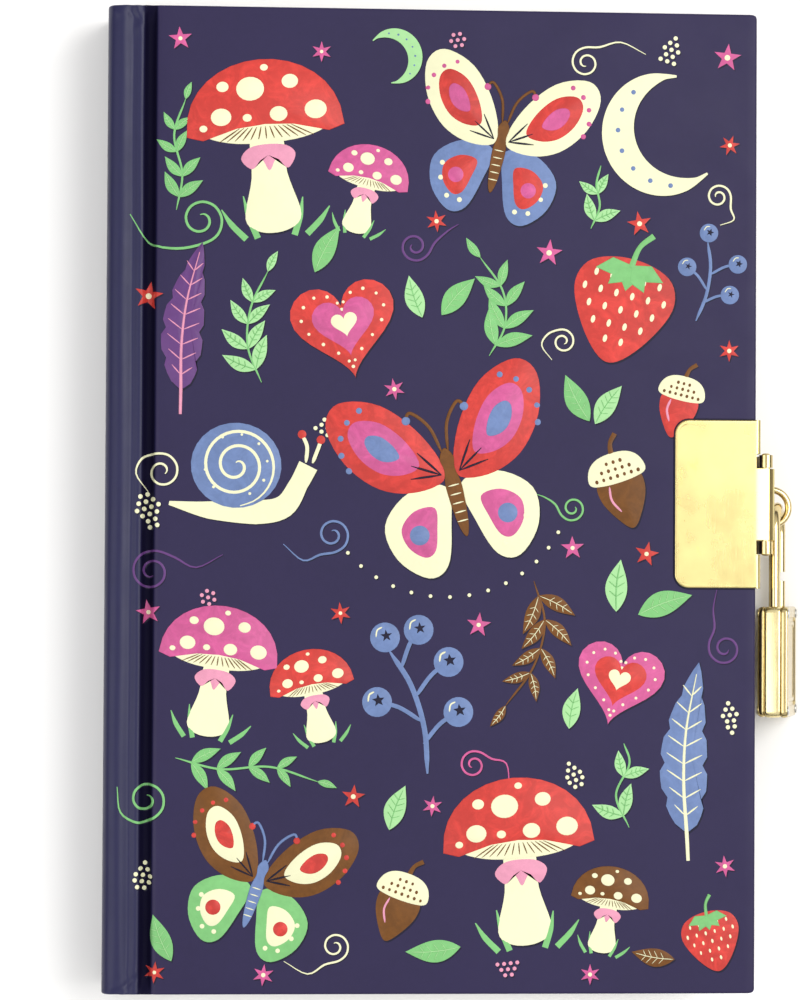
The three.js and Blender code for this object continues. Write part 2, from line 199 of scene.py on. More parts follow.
def tube(path, radius, sides=24, dome=True):
    """A round wire along a path, its ends domed. Radius may be a number or a list."""
    path = [Vector(p) for p in path]
    radii = list(radius) if hasattr(radius, "__len__") else [radius] * len(path)
    if dome:
        first = (path[0] - path[1]).normalized()
        last = (path[-1] - path[-2]).normalized()
        ra, rb = radii[0], radii[-1]
        head, tail, hr, tr = [], [], [], []
        for k in range(1, 5):
            a = math.pi / 2 * k / 4.4
            head.insert(0, path[0] + first * ra * 0.45 * math.sin(a))
            hr.insert(0, ra * math.cos(a))
            tail.append(path[-1] + last * rb * 0.45 * math.sin(a))
            tr.append(rb * math.cos(a))
        path = head + path + tail
        radii = hr + radii + tr
    tangent = (path[1] - path[0]).normalized()
    side = tangent.orthogonal().normalized()
    verts, faces = [], []
    for i, p in enumerate(path):
        t = (path[min(i + 1, len(path) - 1)] - path[max(i - 1, 0)]).normalized()
        side = (side - t * side.dot(t)).normalized()
        up = t.cross(side)
        for k in range(sides):
            a = 2 * math.pi * k / sides
            verts.append(p + (side * math.cos(a) + up * math.sin(a)) * radii[i])
    for i in range(len(path) - 1):
        for k in range(sides):
            a, b = i * sides + k, i * sides + (k + 1) % sides
            faces.append((a, b, b + sides, a + sides))
    faces.append(tuple(reversed(range(sides))))
    faces.append(tuple(range((len(path) - 1) * sides, len(path) * sides)))
    return verts, faces


def lofted(rings, closed_ends=True):
    """Rings of equally many points joined by quads, with an n-gon at each end."""
    n = len(rings[0])
    verts = [v for ring in rings for v in ring]
    faces = []
    for i in range(len(rings) - 1):
        for k in range(n):
            a, b = i * n + k, i * n + (k + 1) % n
            faces.append((a, b, b + n, a + n))
    if closed_ends:
        faces.append(tuple(reversed(range(n))))
        faces.append(tuple(range((len(rings) - 1) * n, len(rings) * n)))
    return verts, faces


def joined(*parts):
    verts, faces = [], []
    for v, f in parts:
        base = len(verts)
        verts += list(v)
        faces += [tuple(i + base for i in face) for face in f]
    return verts, faces


def rounded_rect(x0, y0, x1, y1, r, steps=6):
    out = []
    for cx, cy, a0 in ((x1 - r, y0 + r, -90), (x1 - r, y1 - r, 0), (x0 + r, y1 - r, 90), (x0 + r, y0 + r, 180)):
        for i in range(steps + 1):
            a = math.radians(a0 + 90 * i / steps)
            out.append((cx + r * math.cos(a), cy + r * math.sin(a)))
    return out


# ---------- materials ----------
def shader(name, rgb, roughness, metallic=0.0, specular=0.5, coat=0.0, coat_roughness=0.1, sheen=0.0):
    m = bpy.data.materials.new(name)
    m.use_nodes = True
    tree = m.node_tree
    b = tree.nodes["Principled BSDF"]
    b.inputs["Base Color"].default_value = (*rgb, 1)
    b.inputs["Roughness"].default_value = roughness
    b.inputs["Metallic"].default_value = metallic
    b.inputs["Specular IOR Level"].default_value = specular
    b.inputs["Coat Weight"].default_value = coat
    b.inputs["Coat Roughness"].default_value = coat_roughness
    b.inputs["Sheen Weight"].default_value = sheen
    return m, tree, b


def node(tree, kind, **values):
    n = tree.nodes.new(kind)
    for key, value in values.items():
        if key in n.inputs:
            n.inputs[key].default_value = value
        else:
            setattr(n, key, value)
    return n


def coords(tree, scale=(1, 1, 1), rotation=(0, 0, 0)):
    """Object coordinates in metres, scaled."""
    c = node(tree, "ShaderNodeTexCoord")
    m = node(tree, "ShaderNodeMapping")
    m.inputs["Scale"].default_value = scale
    m.inputs["Rotation"].default_value = rotation
    tree.links.new(c.outputs["Object"], m.inputs["Vector"])
    return m.outputs["Vector"]


def noise(tree, vector, scale, detail=3.0, roughness=0.55, distortion=0.0):
    n = node(tree, "ShaderNodeTexNoise")
    n.inputs["Scale"].default_value = scale
    n.inputs["Detail"].default_value = detail
    n.inputs["Roughness"].default_value = roughness
    n.inputs["Distortion"].default_value = distortion
    tree.links.new(vector, n.inputs["Vector"])
    return n.outputs["Fac"]


def ramp(tree, value, stops):
    r = node(tree, "ShaderNodeValToRGB")
    e = r.color_ramp.elements
    while len(e) < len(stops):
        e.new(0.5)
    for item, (place, colour) in zip(e, stops):
        item.position = place
        c = colour if hasattr(colour, "__len__") else (colour,) * 3
        item.color = (*c, 1)
    tree.links.new(value, r.inputs["Fac"])
    return r.outputs["Color"]


def mixed(tree, factor, a, b, mode="MIX"):
    """factor, a and b are sockets, or plain values where they aren't linked."""
    m = node(tree, "ShaderNodeMix")
    m.data_type = "RGBA"
    m.blend_type = mode
    for value, socket in ((factor, m.inputs[0]), (a, m.inputs[6]), (b, m.inputs[7])):
        if isinstance(value, bpy.types.NodeSocket):
            tree.links.new(value, socket)
        elif hasattr(value, "__len__"):
            socket.default_value = (*value, 1)
        else:
            socket.default_value = value
    return m.outputs[2]


def bump(tree, b, *layers):
    """Each layer is (height socket, strength, distance in metres)."""
    last = None
    for height, strength, distance in layers:
        n = node(tree, "ShaderNodeBump")
        n.inputs["Strength"].default_value = strength
        n.inputs["Distance"].default_value = distance
        tree.links.new(height, n.inputs["Height"])
        if last:
            tree.links.new(last, n.inputs["Normal"])
        last = n.outputs["Normal"]
    tree.links.new(last, b.inputs["Normal"])


def shade(rgb, k):
    return tuple(min(1.0, c * k) for c in rgb)


def laminated(name, rgb, roughness=0.42, coat=0.25, mottle=0.12, blotch=0.0, worn=None, deep=None, specular=0.20):
    """Printed paper under a thin satin film: faint mottling of the ink, a fine orange-peel surface."""
    m, t, b = shader(name, rgb, roughness, specular=specular, coat=coat, coat_roughness=0.28)
    v = coords(t)
    fine = noise(t, v, 900.0, 4.0)
    wide = noise(t, v, 34.0, 3.0, 0.6)
    colour = ramp(t, fine, [(0.25, shade(rgb, 1 - mottle)), (0.75, shade(rgb, 1 + mottle))])
    colour = mixed(t, ramp(t, wide, [(0.35, 0.0), (0.75, 0.35)]), colour, shade(rgb, 1.28 + blotch))
    if blotch:
        brush = noise(t, coords(t, (1, 1, 1), (0, 0, 0.6)), 260.0, 5.0, 0.7, 1.2)
        colour = mixed(t, ramp(t, brush, [(0.45, 0.0), (0.72, 0.55)]), colour, shade(rgb, 1.0 + 2.2 * blotch))
    if worn:
        edge = node(t, "ShaderNodeNewGeometry")
        colour = mixed(t, ramp(t, edge.outputs["Pointiness"], [(0.535, 0.0), (0.60, 0.5)]), colour, worn)
    # painted shade: where the vertex attribute 'fold' is set, the colour is mixed towards the dark deep colour,
    # standing in for the shade that falls into the groove
    if deep:
        fold = node(t, "ShaderNodeAttribute")
        fold.attribute_name = "fold"
        colour = mixed(t, fold.outputs["Fac"], colour, deep)
    t.links.new(colour, b.inputs["Base Color"])
    t.links.new(ramp(t, noise(t, v, 120.0, 3.0), [(0.3, roughness - 0.05), (0.7, roughness + 0.06)]), b.inputs["Roughness"])
    bump(t, b, (noise(t, v, 2600.0, 2.0), 0.12, 0.00004), (noise(t, v, 160.0, 2.0), 0.25, 0.00005))
    return m


INDIGO = (0.0175, 0.0125, 0.0490)
cover_indigo = laminated("cover_indigo", INDIGO, 0.46, 0.02, 0.05, worn=(0.07, 0.065, 0.15))
# painted shade: the spine and groove materials take a dark deep colour through the 'fold' attribute, and the groove
# material is darker in itself, standing in for the shade in the groove
spine_indigo = laminated("spine_indigo", (0.015, 0.0145, 0.052), 0.40, 0.05, 0.05, worn=(0.07, 0.075, 0.17), deep=(0.004, 0.003, 0.014))
groove_indigo_painted_shade = laminated("groove_indigo_painted_shade", (0.014, 0.013, 0.046), 0.62, 0.0, 0.05, deep=(0.004, 0.003, 0.013), specular=0.04)
ink = {
    "cream": laminated("ink_cream", (0.67, 0.66, 0.435), 0.48, 0.05, 0.02),
    "mint": laminated("ink_mint", (0.155, 0.395, 0.138), 0.46, 0.05, 0.07, 0.12),
    "coral": laminated("ink_coral", (0.405, 0.033, 0.026), 0.44, 0.05, 0.10, 0.45),
    "rose": laminated("ink_rose", (0.425, 0.072, 0.200), 0.44, 0.05, 0.10, 0.30),
    "brown": laminated("ink_brown", (0.118, 0.043, 0.0065), 0.47, 0.05, 0.16, 0.30),
    "blue": laminated("ink_blue", (0.112, 0.165, 0.320), 0.44, 0.05, 0.09, 0.20),
    "violet": laminated("ink_violet", (0.100, 0.036, 0.15), 0.44, 0.05, 0.08),
    "pink": laminated("ink_pink", (0.58, 0.235, 0.335), 0.44, 0.05, 0.08, 0.10),
    "leaf": laminated("ink_leaf", (0.30, 0.55, 0.25), 0.46, 0.05, 0.05),
    # dark ink for veins and fine lines, and also the colour of the painted drop shadows under the print and of the
    # painted contact shadow round the plate
    "deep": laminated("dark_ink_and_painted_shadow", (0.006, 0.005, 0.020), 0.5, 0.03, 0.05),
}
INKS = list(ink)


def brass(name, rgb, roughness, scratches=0.5, stains=0.0, brushed=0.0):
    """Lacquered brass sheet or wire: long fine scratches, cloudy polish, small stains."""
    m, t, b = shader(name, rgb, roughness, metallic=1.0)
    v = coords(t)
    cloudy = noise(t, v, 95.0, 4.0, 0.6)
    colour = ramp(t, cloudy, [(0.3, shade(rgb, 0.90)), (0.7, shade(rgb, 1.05))])
    if stains:
        spots = noise(t, coords(t, (1.0, 0.6, 1.0)), 170.0, 5.0, 0.7)
        colour = mixed(t, ramp(t, spots, [(0.60, 0.0), (0.72, stains)]), colour, (0.80, 0.58, 0.16))
    t.links.new(colour, b.inputs["Base Color"])
    long = noise(t, coords(t, (1.0, 0.035, 1.0), (0, 0, 0.15)), 5200.0, 3.0, 0.6)
    cross = noise(t, coords(t, (0.03, 1.0, 1.0), (0, 0, -0.5)), 3600.0, 2.0, 0.6)
    r = mixed(t, ramp(t, long, [(0.55, 0.0), (0.72, scratches)]), ramp(t, cloudy, [(0.3, roughness - 0.04), (0.7, roughness + 0.07)]), (0.5, 0.5, 0.5))
    t.links.new(r, b.inputs["Roughness"])
    layers = [(long, 0.10 * scratches + 0.02, 0.00003), (cross, 0.06 * scratches, 0.00003), (noise(t, v, 60.0, 2.0), 0.10, 0.0004)]
    if brushed:
        layers.append((noise(t, coords(t, (1, 0.02, 1)), 9000.0, 2.0), brushed, 0.00003))
    bump(t, b, *layers)
    return m


plate_brass = brass("plate_brass", (0.62, 0.515, 0.222), 0.265, 0.14, 0.60)
# painted reflection: a darker brass for the bend of the tongue, standing in for the dark surroundings it reflects
bend_brass_painted_reflection = brass("bend_brass_painted_reflection", (0.42, 0.32, 0.14), 0.15, 0.30, 0.30)
# the lock's own brass colour, tinted darker as painted shade for the darker surroundings that the lock reflects
lock_brass = brass("lock_brass", (0.59, 0.47, 0.225), 0.15, 0.35, 0.45)
band_brass = brass("band_brass", (0.84, 0.71, 0.37), 0.22, 0.6, 0.55, 0.2)
wire_brass = brass("wire_brass", (0.69, 0.55, 0.28), 0.14, 0.25, 0.25)
steel = brass("zinc_steel", (0.60, 0.60, 0.58), 0.30, 0.5, 0.0)


def paper(name, rgb, lines=0.0, fibre=0.5):
    m, t, b = shader(name, rgb, 0.82, specular=0.25, sheen=0.05)
    v = coords(t)
    flecks = noise(t, v, 700.0, 5.0, 0.65)
    colour = ramp(t, flecks, [(0.3, shade(rgb, 0.94)), (0.7, shade(rgb, 1.03))])
    wide = noise(t, v, 25.0, 2.0)
    colour = mixed(t, ramp(t, wide, [(0.4, 0.0), (0.8, 0.25)]), colour, shade(rgb, 0.90))
    layers = [(flecks, 0.10 * fibre, 0.00008), (noise(t, v, 3500.0, 3.0), 0.12 * fibre, 0.00003)]
    if lines:
        edges = noise(t, coords(t, (0.012, 0.012, 1.0)), 9000.0, 2.0, 0.5)
        colour = mixed(t, ramp(t, edges, [(0.35, lines), (0.65, 0.0)]), colour, shade(rgb, 0.62))
        layers.append((edges, 0.25, 0.00005))
    t.links.new(colour, b.inputs["Base Color"])
    bump(t, b, *layers)
    return m


leaf_paper = paper("page_leaf_paper", (0.86, 0.82, 0.70), 0.45)
end_paper = paper("end_paper", (0.80, 0.66, 0.62))
back_paper = paper("section_back_paper", (0.74, 0.68, 0.54), 0.5)


def woven(name, rgb, other, scale):
    """Open cotton cloth: two crossing sets of threads."""
    m, t, b = shader(name, rgb, 0.92, specular=0.2, sheen=0.3)
    waves = []
    for turn in (0.0, math.pi / 2):
        w = node(t, "ShaderNodeTexWave")
        w.wave_type = "BANDS"
        w.bands_direction = "Y" if turn else "Z"
        w.inputs["Scale"].default_value = scale
        w.inputs["Distortion"].default_value = 0.6
        w.inputs["Detail"].default_value = 1.0
        t.links.new(coords(t), w.inputs["Vector"])
        waves.append(w.outputs["Fac"])
    both = mixed(t, 0.5, waves[0], waves[1], "MULTIPLY")
    t.links.new(mixed(t, both, other, rgb), b.inputs["Base Color"])
    bump(t, b, (both, 0.6, 0.0001))
    return m


cloth = woven("lining_cloth", (0.72, 0.68, 0.56), (0.40, 0.36, 0.28), 420.0)


def board(name):
    m, t, b = shader(name, (0.33, 0.29, 0.24), 0.92, specular=0.2)
    v = coords(t)
    fibres = noise(t, coords(t, (1, 0.35, 1)), 1400.0, 5.0, 0.7)
    colour = ramp(t, fibres, [(0.3, (0.24, 0.21, 0.17)), (0.7, (0.40, 0.36, 0.30))])
    t.links.new(colour, b.inputs["Base Color"])
    bump(t, b, (fibres, 0.4, 0.0001), (noise(t, v, 300.0, 3.0), 0.2, 0.0001))
    return m


grey_board = board("grey_board")


def thread(name, a, c):
    m, t, b = shader(name, a, 0.75, specular=0.3, sheen=0.25)
    twist = node(t, "ShaderNodeTexWave")
    twist.inputs["Scale"].default_value = 800.0
    twist.inputs["Distortion"].default_value = 1.0
    t.links.new(coords(t, (1, 1, 1), (0.5, 0.2, 0)), twist.inputs["Vector"])
    t.links.new(ramp(t, twist.outputs["Fac"], [(0.2, shade(a, 0.7)), (0.8, c)]), b.inputs["Base Color"])
    bump(t, b, (twist.outputs["Fac"], 0.5, 0.00005))
    return m


thread_red = thread("band_thread_red", (0.55, 0.05, 0.05), (0.66, 0.09, 0.08))
thread_cream = thread("band_thread_cream", (0.78, 0.74, 0.60), (0.88, 0.85, 0.72))


# ---------- the two covers with their half of the spine ----------
# outside of the section, from the middle of the spine over its rolled edge and the groove onto the board
OUTER = [
    (-59.0, 9.2),
    (-59.0, 12.4),
    (-59.0, 15.1),
    (-58.93, 16.2),
    (-58.66, 17.05),
    (-58.18, 17.7),
    (-57.5, 18.1),
    (-56.7, 18.27),
    (-55.95, 18.24),
    (-55.3, 18.06),
    (-54.8, 17.8),
    (-54.45, 17.66),
    (-54.1, 17.67),
    (-53.75, 17.84),
    (-53.35, 18.0),
    (-52.9, 18.03),
    (-52.5, 17.92),
    (-52.22, 17.6),
    (-52.06, 17.1),
    (-51.88, 16.6),
    (-51.55, 16.3),
    (-51.1, 16.22),
    (-50.72, 16.38),
    (-50.5, 16.75),
    (-50.38, 17.25),
    (-50.26, 17.75),
    (-50.02, 18.14),
    (-49.7, 18.33),
    (-49.2, 18.4),
]
BOARD_XS = [-47.0, -40.0, -28.0, -14.0, 0.0, 14.0, 28.0, 42.0, 52.0, 57.0]
FORE = [
    (58.35, 18.4),
    (58.68, 18.35),
    (58.89, 18.2),
    (58.98, 17.98),
    (59.0, 17.7),
    (59.0, 16.5),
    (58.98, 16.2),
    (58.89, 15.97),
    (58.68, 15.81),
    (58.35, 15.75),
]
INNER = [
    (-49.3, 15.75),
    (-49.8, 15.76),
    (-50.3, 15.75),
    (-50.8, 15.76),
    (-51.3, 15.8),
    (-51.8, 15.95),
    (-52.2, 16.35),
    (-52.5, 17.0),
    (-52.8, 17.35),
    (-53.3, 17.45),
    (-53.9, 17.28),
    (-54.5, 17.2),
    (-55.2, 17.3),
    (-55.9, 17.05),
    (-56.3, 16.4),
    (-56.3, 12.4),
    (-56.3, 9.2),
]
SECTION = (
    OUTER
    + [(x, 18.4) for x in BOARD_XS]
    + FORE
    + [(x, 15.75) for x in reversed(BOARD_XS)]
    + INNER
)


def profile_z(x):
    """Height of the outside at x, at rest."""
    if x >= OUTER[-1][0]:
        return 18.4
    pts = OUTER[3:]
    if x <= pts[0][0]:
        return pts[0][1]
    for (xa, za), (xb, zb) in zip(pts, pts[1:]):
        if x <= xb:
            return za + (zb - za) * (x - xa) / (xb - xa)
    return 18.4


def relief(x, z, y):
    """(dx, dz): how the wrapped paper wanders along the spine and bunches up at its two ends."""
    d = HALF - abs(y)
    side = 1.0 if y > 0 else -1.0
    dx = dz = 0.0
    if x < -49.4:
        soft = min(1.0, (-49.4 - x) / 1.2)
        dx = soft * (0.05 * math.sin(y / 19.0 + 0.7) + 0.03 * math.sin(y / 6.3)) if -58.5 < x else 0.0
        dz = soft * (0.035 * math.sin(y / 13.0 + x) + 0.02 * math.sin(y / 4.1 + 2 * x))
        if -54.9 < x < -50.1:
            fill = 0.80 * math.exp(-((d / 1.7) ** 2)) + 0.16 * math.exp(-((d / 5.5) ** 2))
            dz += fill * max(0.0, 18.02 - z)
        lump = math.exp(-((d / 2.2) ** 2))
        dz -= lump * 0.34 * math.exp(-(((x + 57.2 + 0.3 * side) / 0.8) ** 2)) * (0.4 + 0.6 * math.cos(d * 2.0))
        dz += lump * 0.12 * math.sin((x + 58.0) * 3.1 + side)
        crease = math.exp(-(((d - 2.1 - 0.8 * (x + 54.0)) / 0.55) ** 2))
        if -56.5 < x < -52.4:
            dz -= 0.16 * crease
        second = math.exp(-(((d - 3.4 + 0.6 * (x + 52.5)) / 0.6) ** 2))
        if -54.2 < x < -50.4:
            dz += 0.12 * second
        dz = min(dz, 18.36 - z)
    return dx, dz


def groove_painted_shade_weight(x, z):
    """Weight of the painted shade in the groove: 1 at the bottom of the groove and on its walls, 0 on the board and on
    the roll.
    """
    if z < 16.0:
        return 0.0
    side = min(1.0, max(0.0, (x + 52.75) / 0.5), max(0.0, (-49.95 - x) / 0.35))
    return max(0.0, side) * 0.85


def end_distances():
    near = [0.0, 0.06, 0.16, 0.3, 0.5, 0.8, 1.1, 1.4, 1.7, 2.0, 2.35, 2.7, 3.1, 3.6, 4.2, 5.0, 6.0, 7.2, 9.0, 11.5, 14.5]
    return near


def case_half(name, upper):
    """One cover: board and wrapping paper in one closed section, swept from tail to head."""
    n = len(SECTION)
    pts = [Vector((x, z)) for x, z in SECTION]
    normals = []
    for i in range(n):
        a = (pts[i] - pts[i - 1]).normalized()
        b = (pts[(i + 1) % n] - pts[i]).normalized()
        m = (a + b).normalized()
        normals.append(Vector((-m.y, m.x)))  # to the left of the walk, outside for this clockwise section
    thin = [0.16 if -55.5 < x < -50.2 else 0.34 for x, _ in SECTION]
    near = end_distances()
    stations = []
    for d in near:
        stations.append(-HALF + d)
    y = -HALF + near[-1]
    count = 20
    span = 2 * (HALF - near[-1])
    stations += [y + span * i / count for i in range(1, count)]
    stations += [HALF - d for d in reversed(near)]
    rings = []
    outer_count = len(OUTER)
    for y in stations:
        d = HALF - abs(y)
        ring = []
        for i, (x, z) in enumerate(SECTION):
            r = thin[i]
            inset = 0.0
            if d < r:
                inset = r - math.sqrt(max(0.0, r * r - (r - d) ** 2))
            px, pz = x - normals[i].x * inset, z - normals[i].y * inset
            if i < outer_count:
                dx, dz = relief(x, z, y)
                px, pz = px + dx, pz + dz
            elif -55.9 < x < -50.0 and z > 15.74:
                dx, dz = relief(x, z + 0.5, y)
                px, pz = px + dx, pz + dz * 0.8
            if x > 57.5:
                r2 = 0.85
                cut = r2 - math.sqrt(max(0.0, r2 * r2 - (r2 - d) ** 2)) if d < r2 else 0.0
                px -= cut * min(1.0, (x - 57.5) / 1.2)
            ring.append(Vector((px, y, pz if upper else BOOK_T - pz)))
        rings.append(ring)
    verts, faces = lofted(rings)
    # the two end caps and the faces are coloured by where they are
    obj = new_object(name, verts, faces, [cover_indigo, spine_indigo, groove_indigo_painted_shade])
    bm = bmesh.new()
    bm.from_mesh(obj.data)
    bmesh.ops.triangulate(bm, faces=[f for f in bm.faces if len(f.verts) > 4], ngon_method="EAR_CLIP")
    bmesh.ops.recalc_face_normals(bm, faces=bm.faces)
    for f in bm.faces:
        x = f.calc_center_median().x
        f.material_index = 0 if x > -50.02 else (2 if x > -52.6 else 1)
        f.smooth = True
    bm.to_mesh(obj.data)
    bm.free()
    obj.data.set_sharp_from_angle(angle=math.radians(50))
    # painted shade: this attribute darkens the groove's colour, standing in for the shade that falls into it
    fold = obj.data.attributes.new("fold", "FLOAT", "POINT")
    fold.data.foreach_set("value", [groove_painted_shade_weight(v.co.x, v.co.z if upper else BOOK_T - v.co.z) for v in obj.data.vertices])
    return obj


front_case = case_half("front_case", True)
placed(
    front_case,
    replaces=("front_board", "front_cover_paper", "spine_cover_paper", "spine_board"),
    bend=("text_block", "front_cover", *FRONT_BEND),
)

back_case = case_half("back_case", False)
pocket_v, pocket_f = lofted(
    [
        [(x, y, z) for x, y in [(59.5, CLASP_Y - 15.4), (59.5, CLASP_Y + 15.4)]
         + [(44.0 + 2.7 - 2.7 * math.sin(math.radians(90 * i / 8)), CLASP_Y + 15.4 - 2.7 + 2.7 * math.cos(math.radians(90 * i / 8))) for i in range(9)]
         + [(44.0 + 2.7 - 2.7 * math.cos(math.radians(90 * i / 8)), CLASP_Y - 15.4 + 2.7 - 2.7 * math.sin(math.radians(90 * i / 8))) for i in range(9)]]
        for z in (-1.0, 0.45)
    ]
)
cutter = new_object("pocket_cutter", pocket_v, pocket_f, [])
weld(cutter)
baked(back_case, ("BOOLEAN", dict(operation="DIFFERENCE", object=cutter, solver="EXACT")))
bpy.data.objects.remove(cutter)
placed(
    back_case,
    replaces=("back_board", "back_cover_paper"),
    bend=("text_block", "back_cover", *FRONT_BEND),
)


# ---------- pastedowns: thin sheets that show the step of the turned-in paper under them ----------
def pastedown(name, upper, body, node_name):
    x0, x1, y1 = -49.6, 56.4, 86.4
    step = 12.0
    xs = [x0, -30.0, 0.0, 30.0, E - step - 0.35, E - step - 0.1, E - step + 0.1, E - step + 0.35, 52.0, x1 - 0.1, x1]
    ys_half = [0.0, 40.0, HALF - step - 0.35, HALF - step - 0.1, HALF - step + 0.1, HALF - step + 0.35, 82.0, y1 - 0.1, y1]
    ys = [-v for v in reversed(ys_half[1:])] + ys_half

    def lower_face(x, y):
        over = max((x - (E - step)) / 0.35, (abs(y) - (HALF - step)) / 0.35)
        t = min(1.0, max(0.0, 0.5 + 0.5 * over))
        t = t * t * (3 - 2 * t)
        wave = 0.012 * math.sin(x / 9.0 + y / 23.0) + 0.01 * math.sin(y / 11.0)
        return 15.665 - 0.085 * t + wave

    verts, faces = [], []
    for layer in (0, 1):
        for x in xs:
            for y in ys:
                z = lower_face(x, y) if layer == 0 else 15.74
                if layer == 0 and (x in (x0, x1) or abs(y) == y1):
                    z += 0.03
                verts.append((x, y, z if upper else BOOK_T - z))
    nx, ny = len(xs), len(ys)
    idx = lambda l, i, j: l * nx * ny + i * ny + j
    for i in range(nx - 1):
        for j in range(ny - 1):
            faces.append((idx(0, i, j), idx(0, i, j + 1), idx(0, i + 1, j + 1), idx(0, i + 1, j)))
            faces.append((idx(1, i, j), idx(1, i + 1, j), idx(1, i + 1, j + 1), idx(1, i, j + 1)))
    for i in range(nx - 1):
        for j in (0, ny - 1):
            faces.append((idx(0, i, j), idx(0, i + 1, j), idx(1, i + 1, j), idx(1, i, j)))
    for j in range(ny - 1):
        for i in (0, nx - 1):
            faces.append((idx(0, i, j), idx(1, i, j), idx(1, i, j + 1), idx(0, i, j + 1)))
    obj = weld(new_object(name, verts, faces, [end_paper]))
    obj.data.set_sharp_from_angle(angle=math.radians(40))
    placed(obj, body, (node_name,))


pastedown("front_end_sheet", True, "front_cover", "front_pastedown")
pastedown("back_end_sheet", False, "back_cover", "back_pastedown")


# ---------- endpaper where it crosses the joint: one fold that opens round the hinge ----------
def joint_fold(name, upper, body):
    path = [(-46.5, 15.64), (-48.5, 15.64), (-49.6, 15.64), (-50.05, 15.635), (-50.2, 15.62)]
    path += [(-50.24, 15.62 - 0.19 * i / 20) for i in range(21)]
    path += [(-50.2, 15.425), (-49.9, 15.42), (-49.2, 15.42)]
    t = 0.05
    outline = [(x, z + t * 0.5) if i < 4 else ((x - t, z) if i < 27 else (x, z - t * 0.5)) for i, (x, z) in enumerate(path)]
    inside = [(x, z - t * 0.5) if i < 4 else ((x + t, z) if i < 27 else (x, z + t * 0.5)) for i, (x, z) in enumerate(path)]
    loop = outline + inside[::-1]
    ys = [-86.2, -60.0, -30.0, 0.0, 30.0, 60.0, 86.2]
    rings = [[(x, y, z if upper else BOOK_T - z) for x, z in loop] for y in ys]
    obj = weld(new_object(name, *lofted(rings), [end_paper]), 1e-5)
    hi, lo = (0.0156, 0.01545) if upper else ((BOOK_T - 15.6) * MM, (BOOK_T - 15.45) * MM)
    placed(obj, bend=("text_block", body, (0, 0, lo), (0, 0, hi)))


joint_fold("front_joint_fold", True, "front_cover")
joint_fold("back_joint_fold", False, "back_cover")


# ---------- leaves ----------
dice = random.Random(41)
PITCH = (BLOCK_HI - BLOCK_LO - 2 * (0.15 + 0.05)) / SECTIONS
BEND_XS = [-50.2, -49.9, -49.5, -49.0, -48.4, -47.7, -47.0, -46.3, -45.6, -44.9, -44.2, -43.5, -42.8, -42.1, -41.4, -40.8, -39.0]


def leaf_rings(x0, x1, y1, z0, z1, bend):
    xs = ([x for x in BEND_XS if x > x0 + 0.05] if bend else [-20.0, 20.0]) + ([-20.0, 20.0] if bend else [])
    xs = [x0] + xs + [x1]
    top = y1 + dice.uniform(-0.05, 0.04)
    low = -y1 + dice.uniform(-0.04, 0.05)
    return lofted([[(x, low, z0), (x, top, z0), (x, top, z1), (x, low, z1)] for x in xs])


def section(name, index, body=None):
    top = BLOCK_HI - 0.15 - 0.05 - index * PITCH
    thick = PITCH - 0.05
    count = 12
    parts = []
    for k in range(count):
        z1 = top - thick * k / count
        z0 = z1 - thick / count + 0.018
        creep = 0.06 * (1 - abs(2 * k / (count - 1) - 1))
        x1 = LEAF_E - 0.05 + creep + dice.uniform(-0.05, 0.04)
        parts.append(leaf_rings(-50.2, min(x1, LEAF_E + 0.05), LEAF_H - 0.06, z0, z1, body is not None))
    obj = new_object(name, *joined(*parts), [leaf_paper], smooth=False)
    bend = ("text_block", body, (-0.0499, 0, 0), (-0.0408, 0, 0)) if body else None
    placed(obj, None if body else "text_block", (f"page_section_{index + 1}",), bend)


for i in range(SECTIONS):
    section(f"leaves_{i + 1}", i, f"section_{i + 1}" if i < 3 else None)

fly = new_object("front_fly_sheet", *leaf_rings(-50.2, LEAF_E, LEAF_H, 15.32, 15.44, True), [end_paper], smooth=False)
placed(fly, None, ("front_flyleaf",), ("text_block", "flyleaf", (-0.0499, 0, 0), (-0.0408, 0, 0)))
fly = new_object("back_fly_sheet", *leaf_rings(-50.2, LEAF_E, LEAF_H, 2.96, 3.08, False), [end_paper], smooth=False)
placed(fly, "text_block", ("back_flyleaf",))

# the folded backs of the eight sections, each rounded
parts = []
for i in range(SECTIONS):
    top = BLOCK_HI - 0.2 - i * PITCH
    z0, z1 = top - PITCH + 0.05, top
    mid, half = (z0 + z1) / 2, (z1 - z0) / 2
    loop = [(-50.22, z0), (-50.22, z1)]
    back = -53.25 + 0.25 * abs(i - 3.5) / 3.5
    for k in range(13):
        a = math.radians(90 + 180 * k / 12)
        loop.append((back + 0.75 + 0.75 * math.cos(a), mid + half * math.sin(a)))
    ys = [-85.97, -85.9] + [-80 + 10 * k for k in range(17)] + [85.9, 85.97]
    rings = []
    for y in ys:
        inset = 0.04 if abs(y) > 85.95 else 0.0
        sway = 0.02 * math.sin(y / 7 + i)
        rings.append([(x + (inset + sway if x < -51 else 0), y, mid + (z - mid) * (1 - inset)) for x, z in loop])
    parts.append(lofted(rings))
backs = new_object("section_backs", *joined(*parts), [back_paper])
backs.data.set_sharp_from_angle(angle=math.radians(40))
placed(backs, "text_block", ("sewn_backs",))


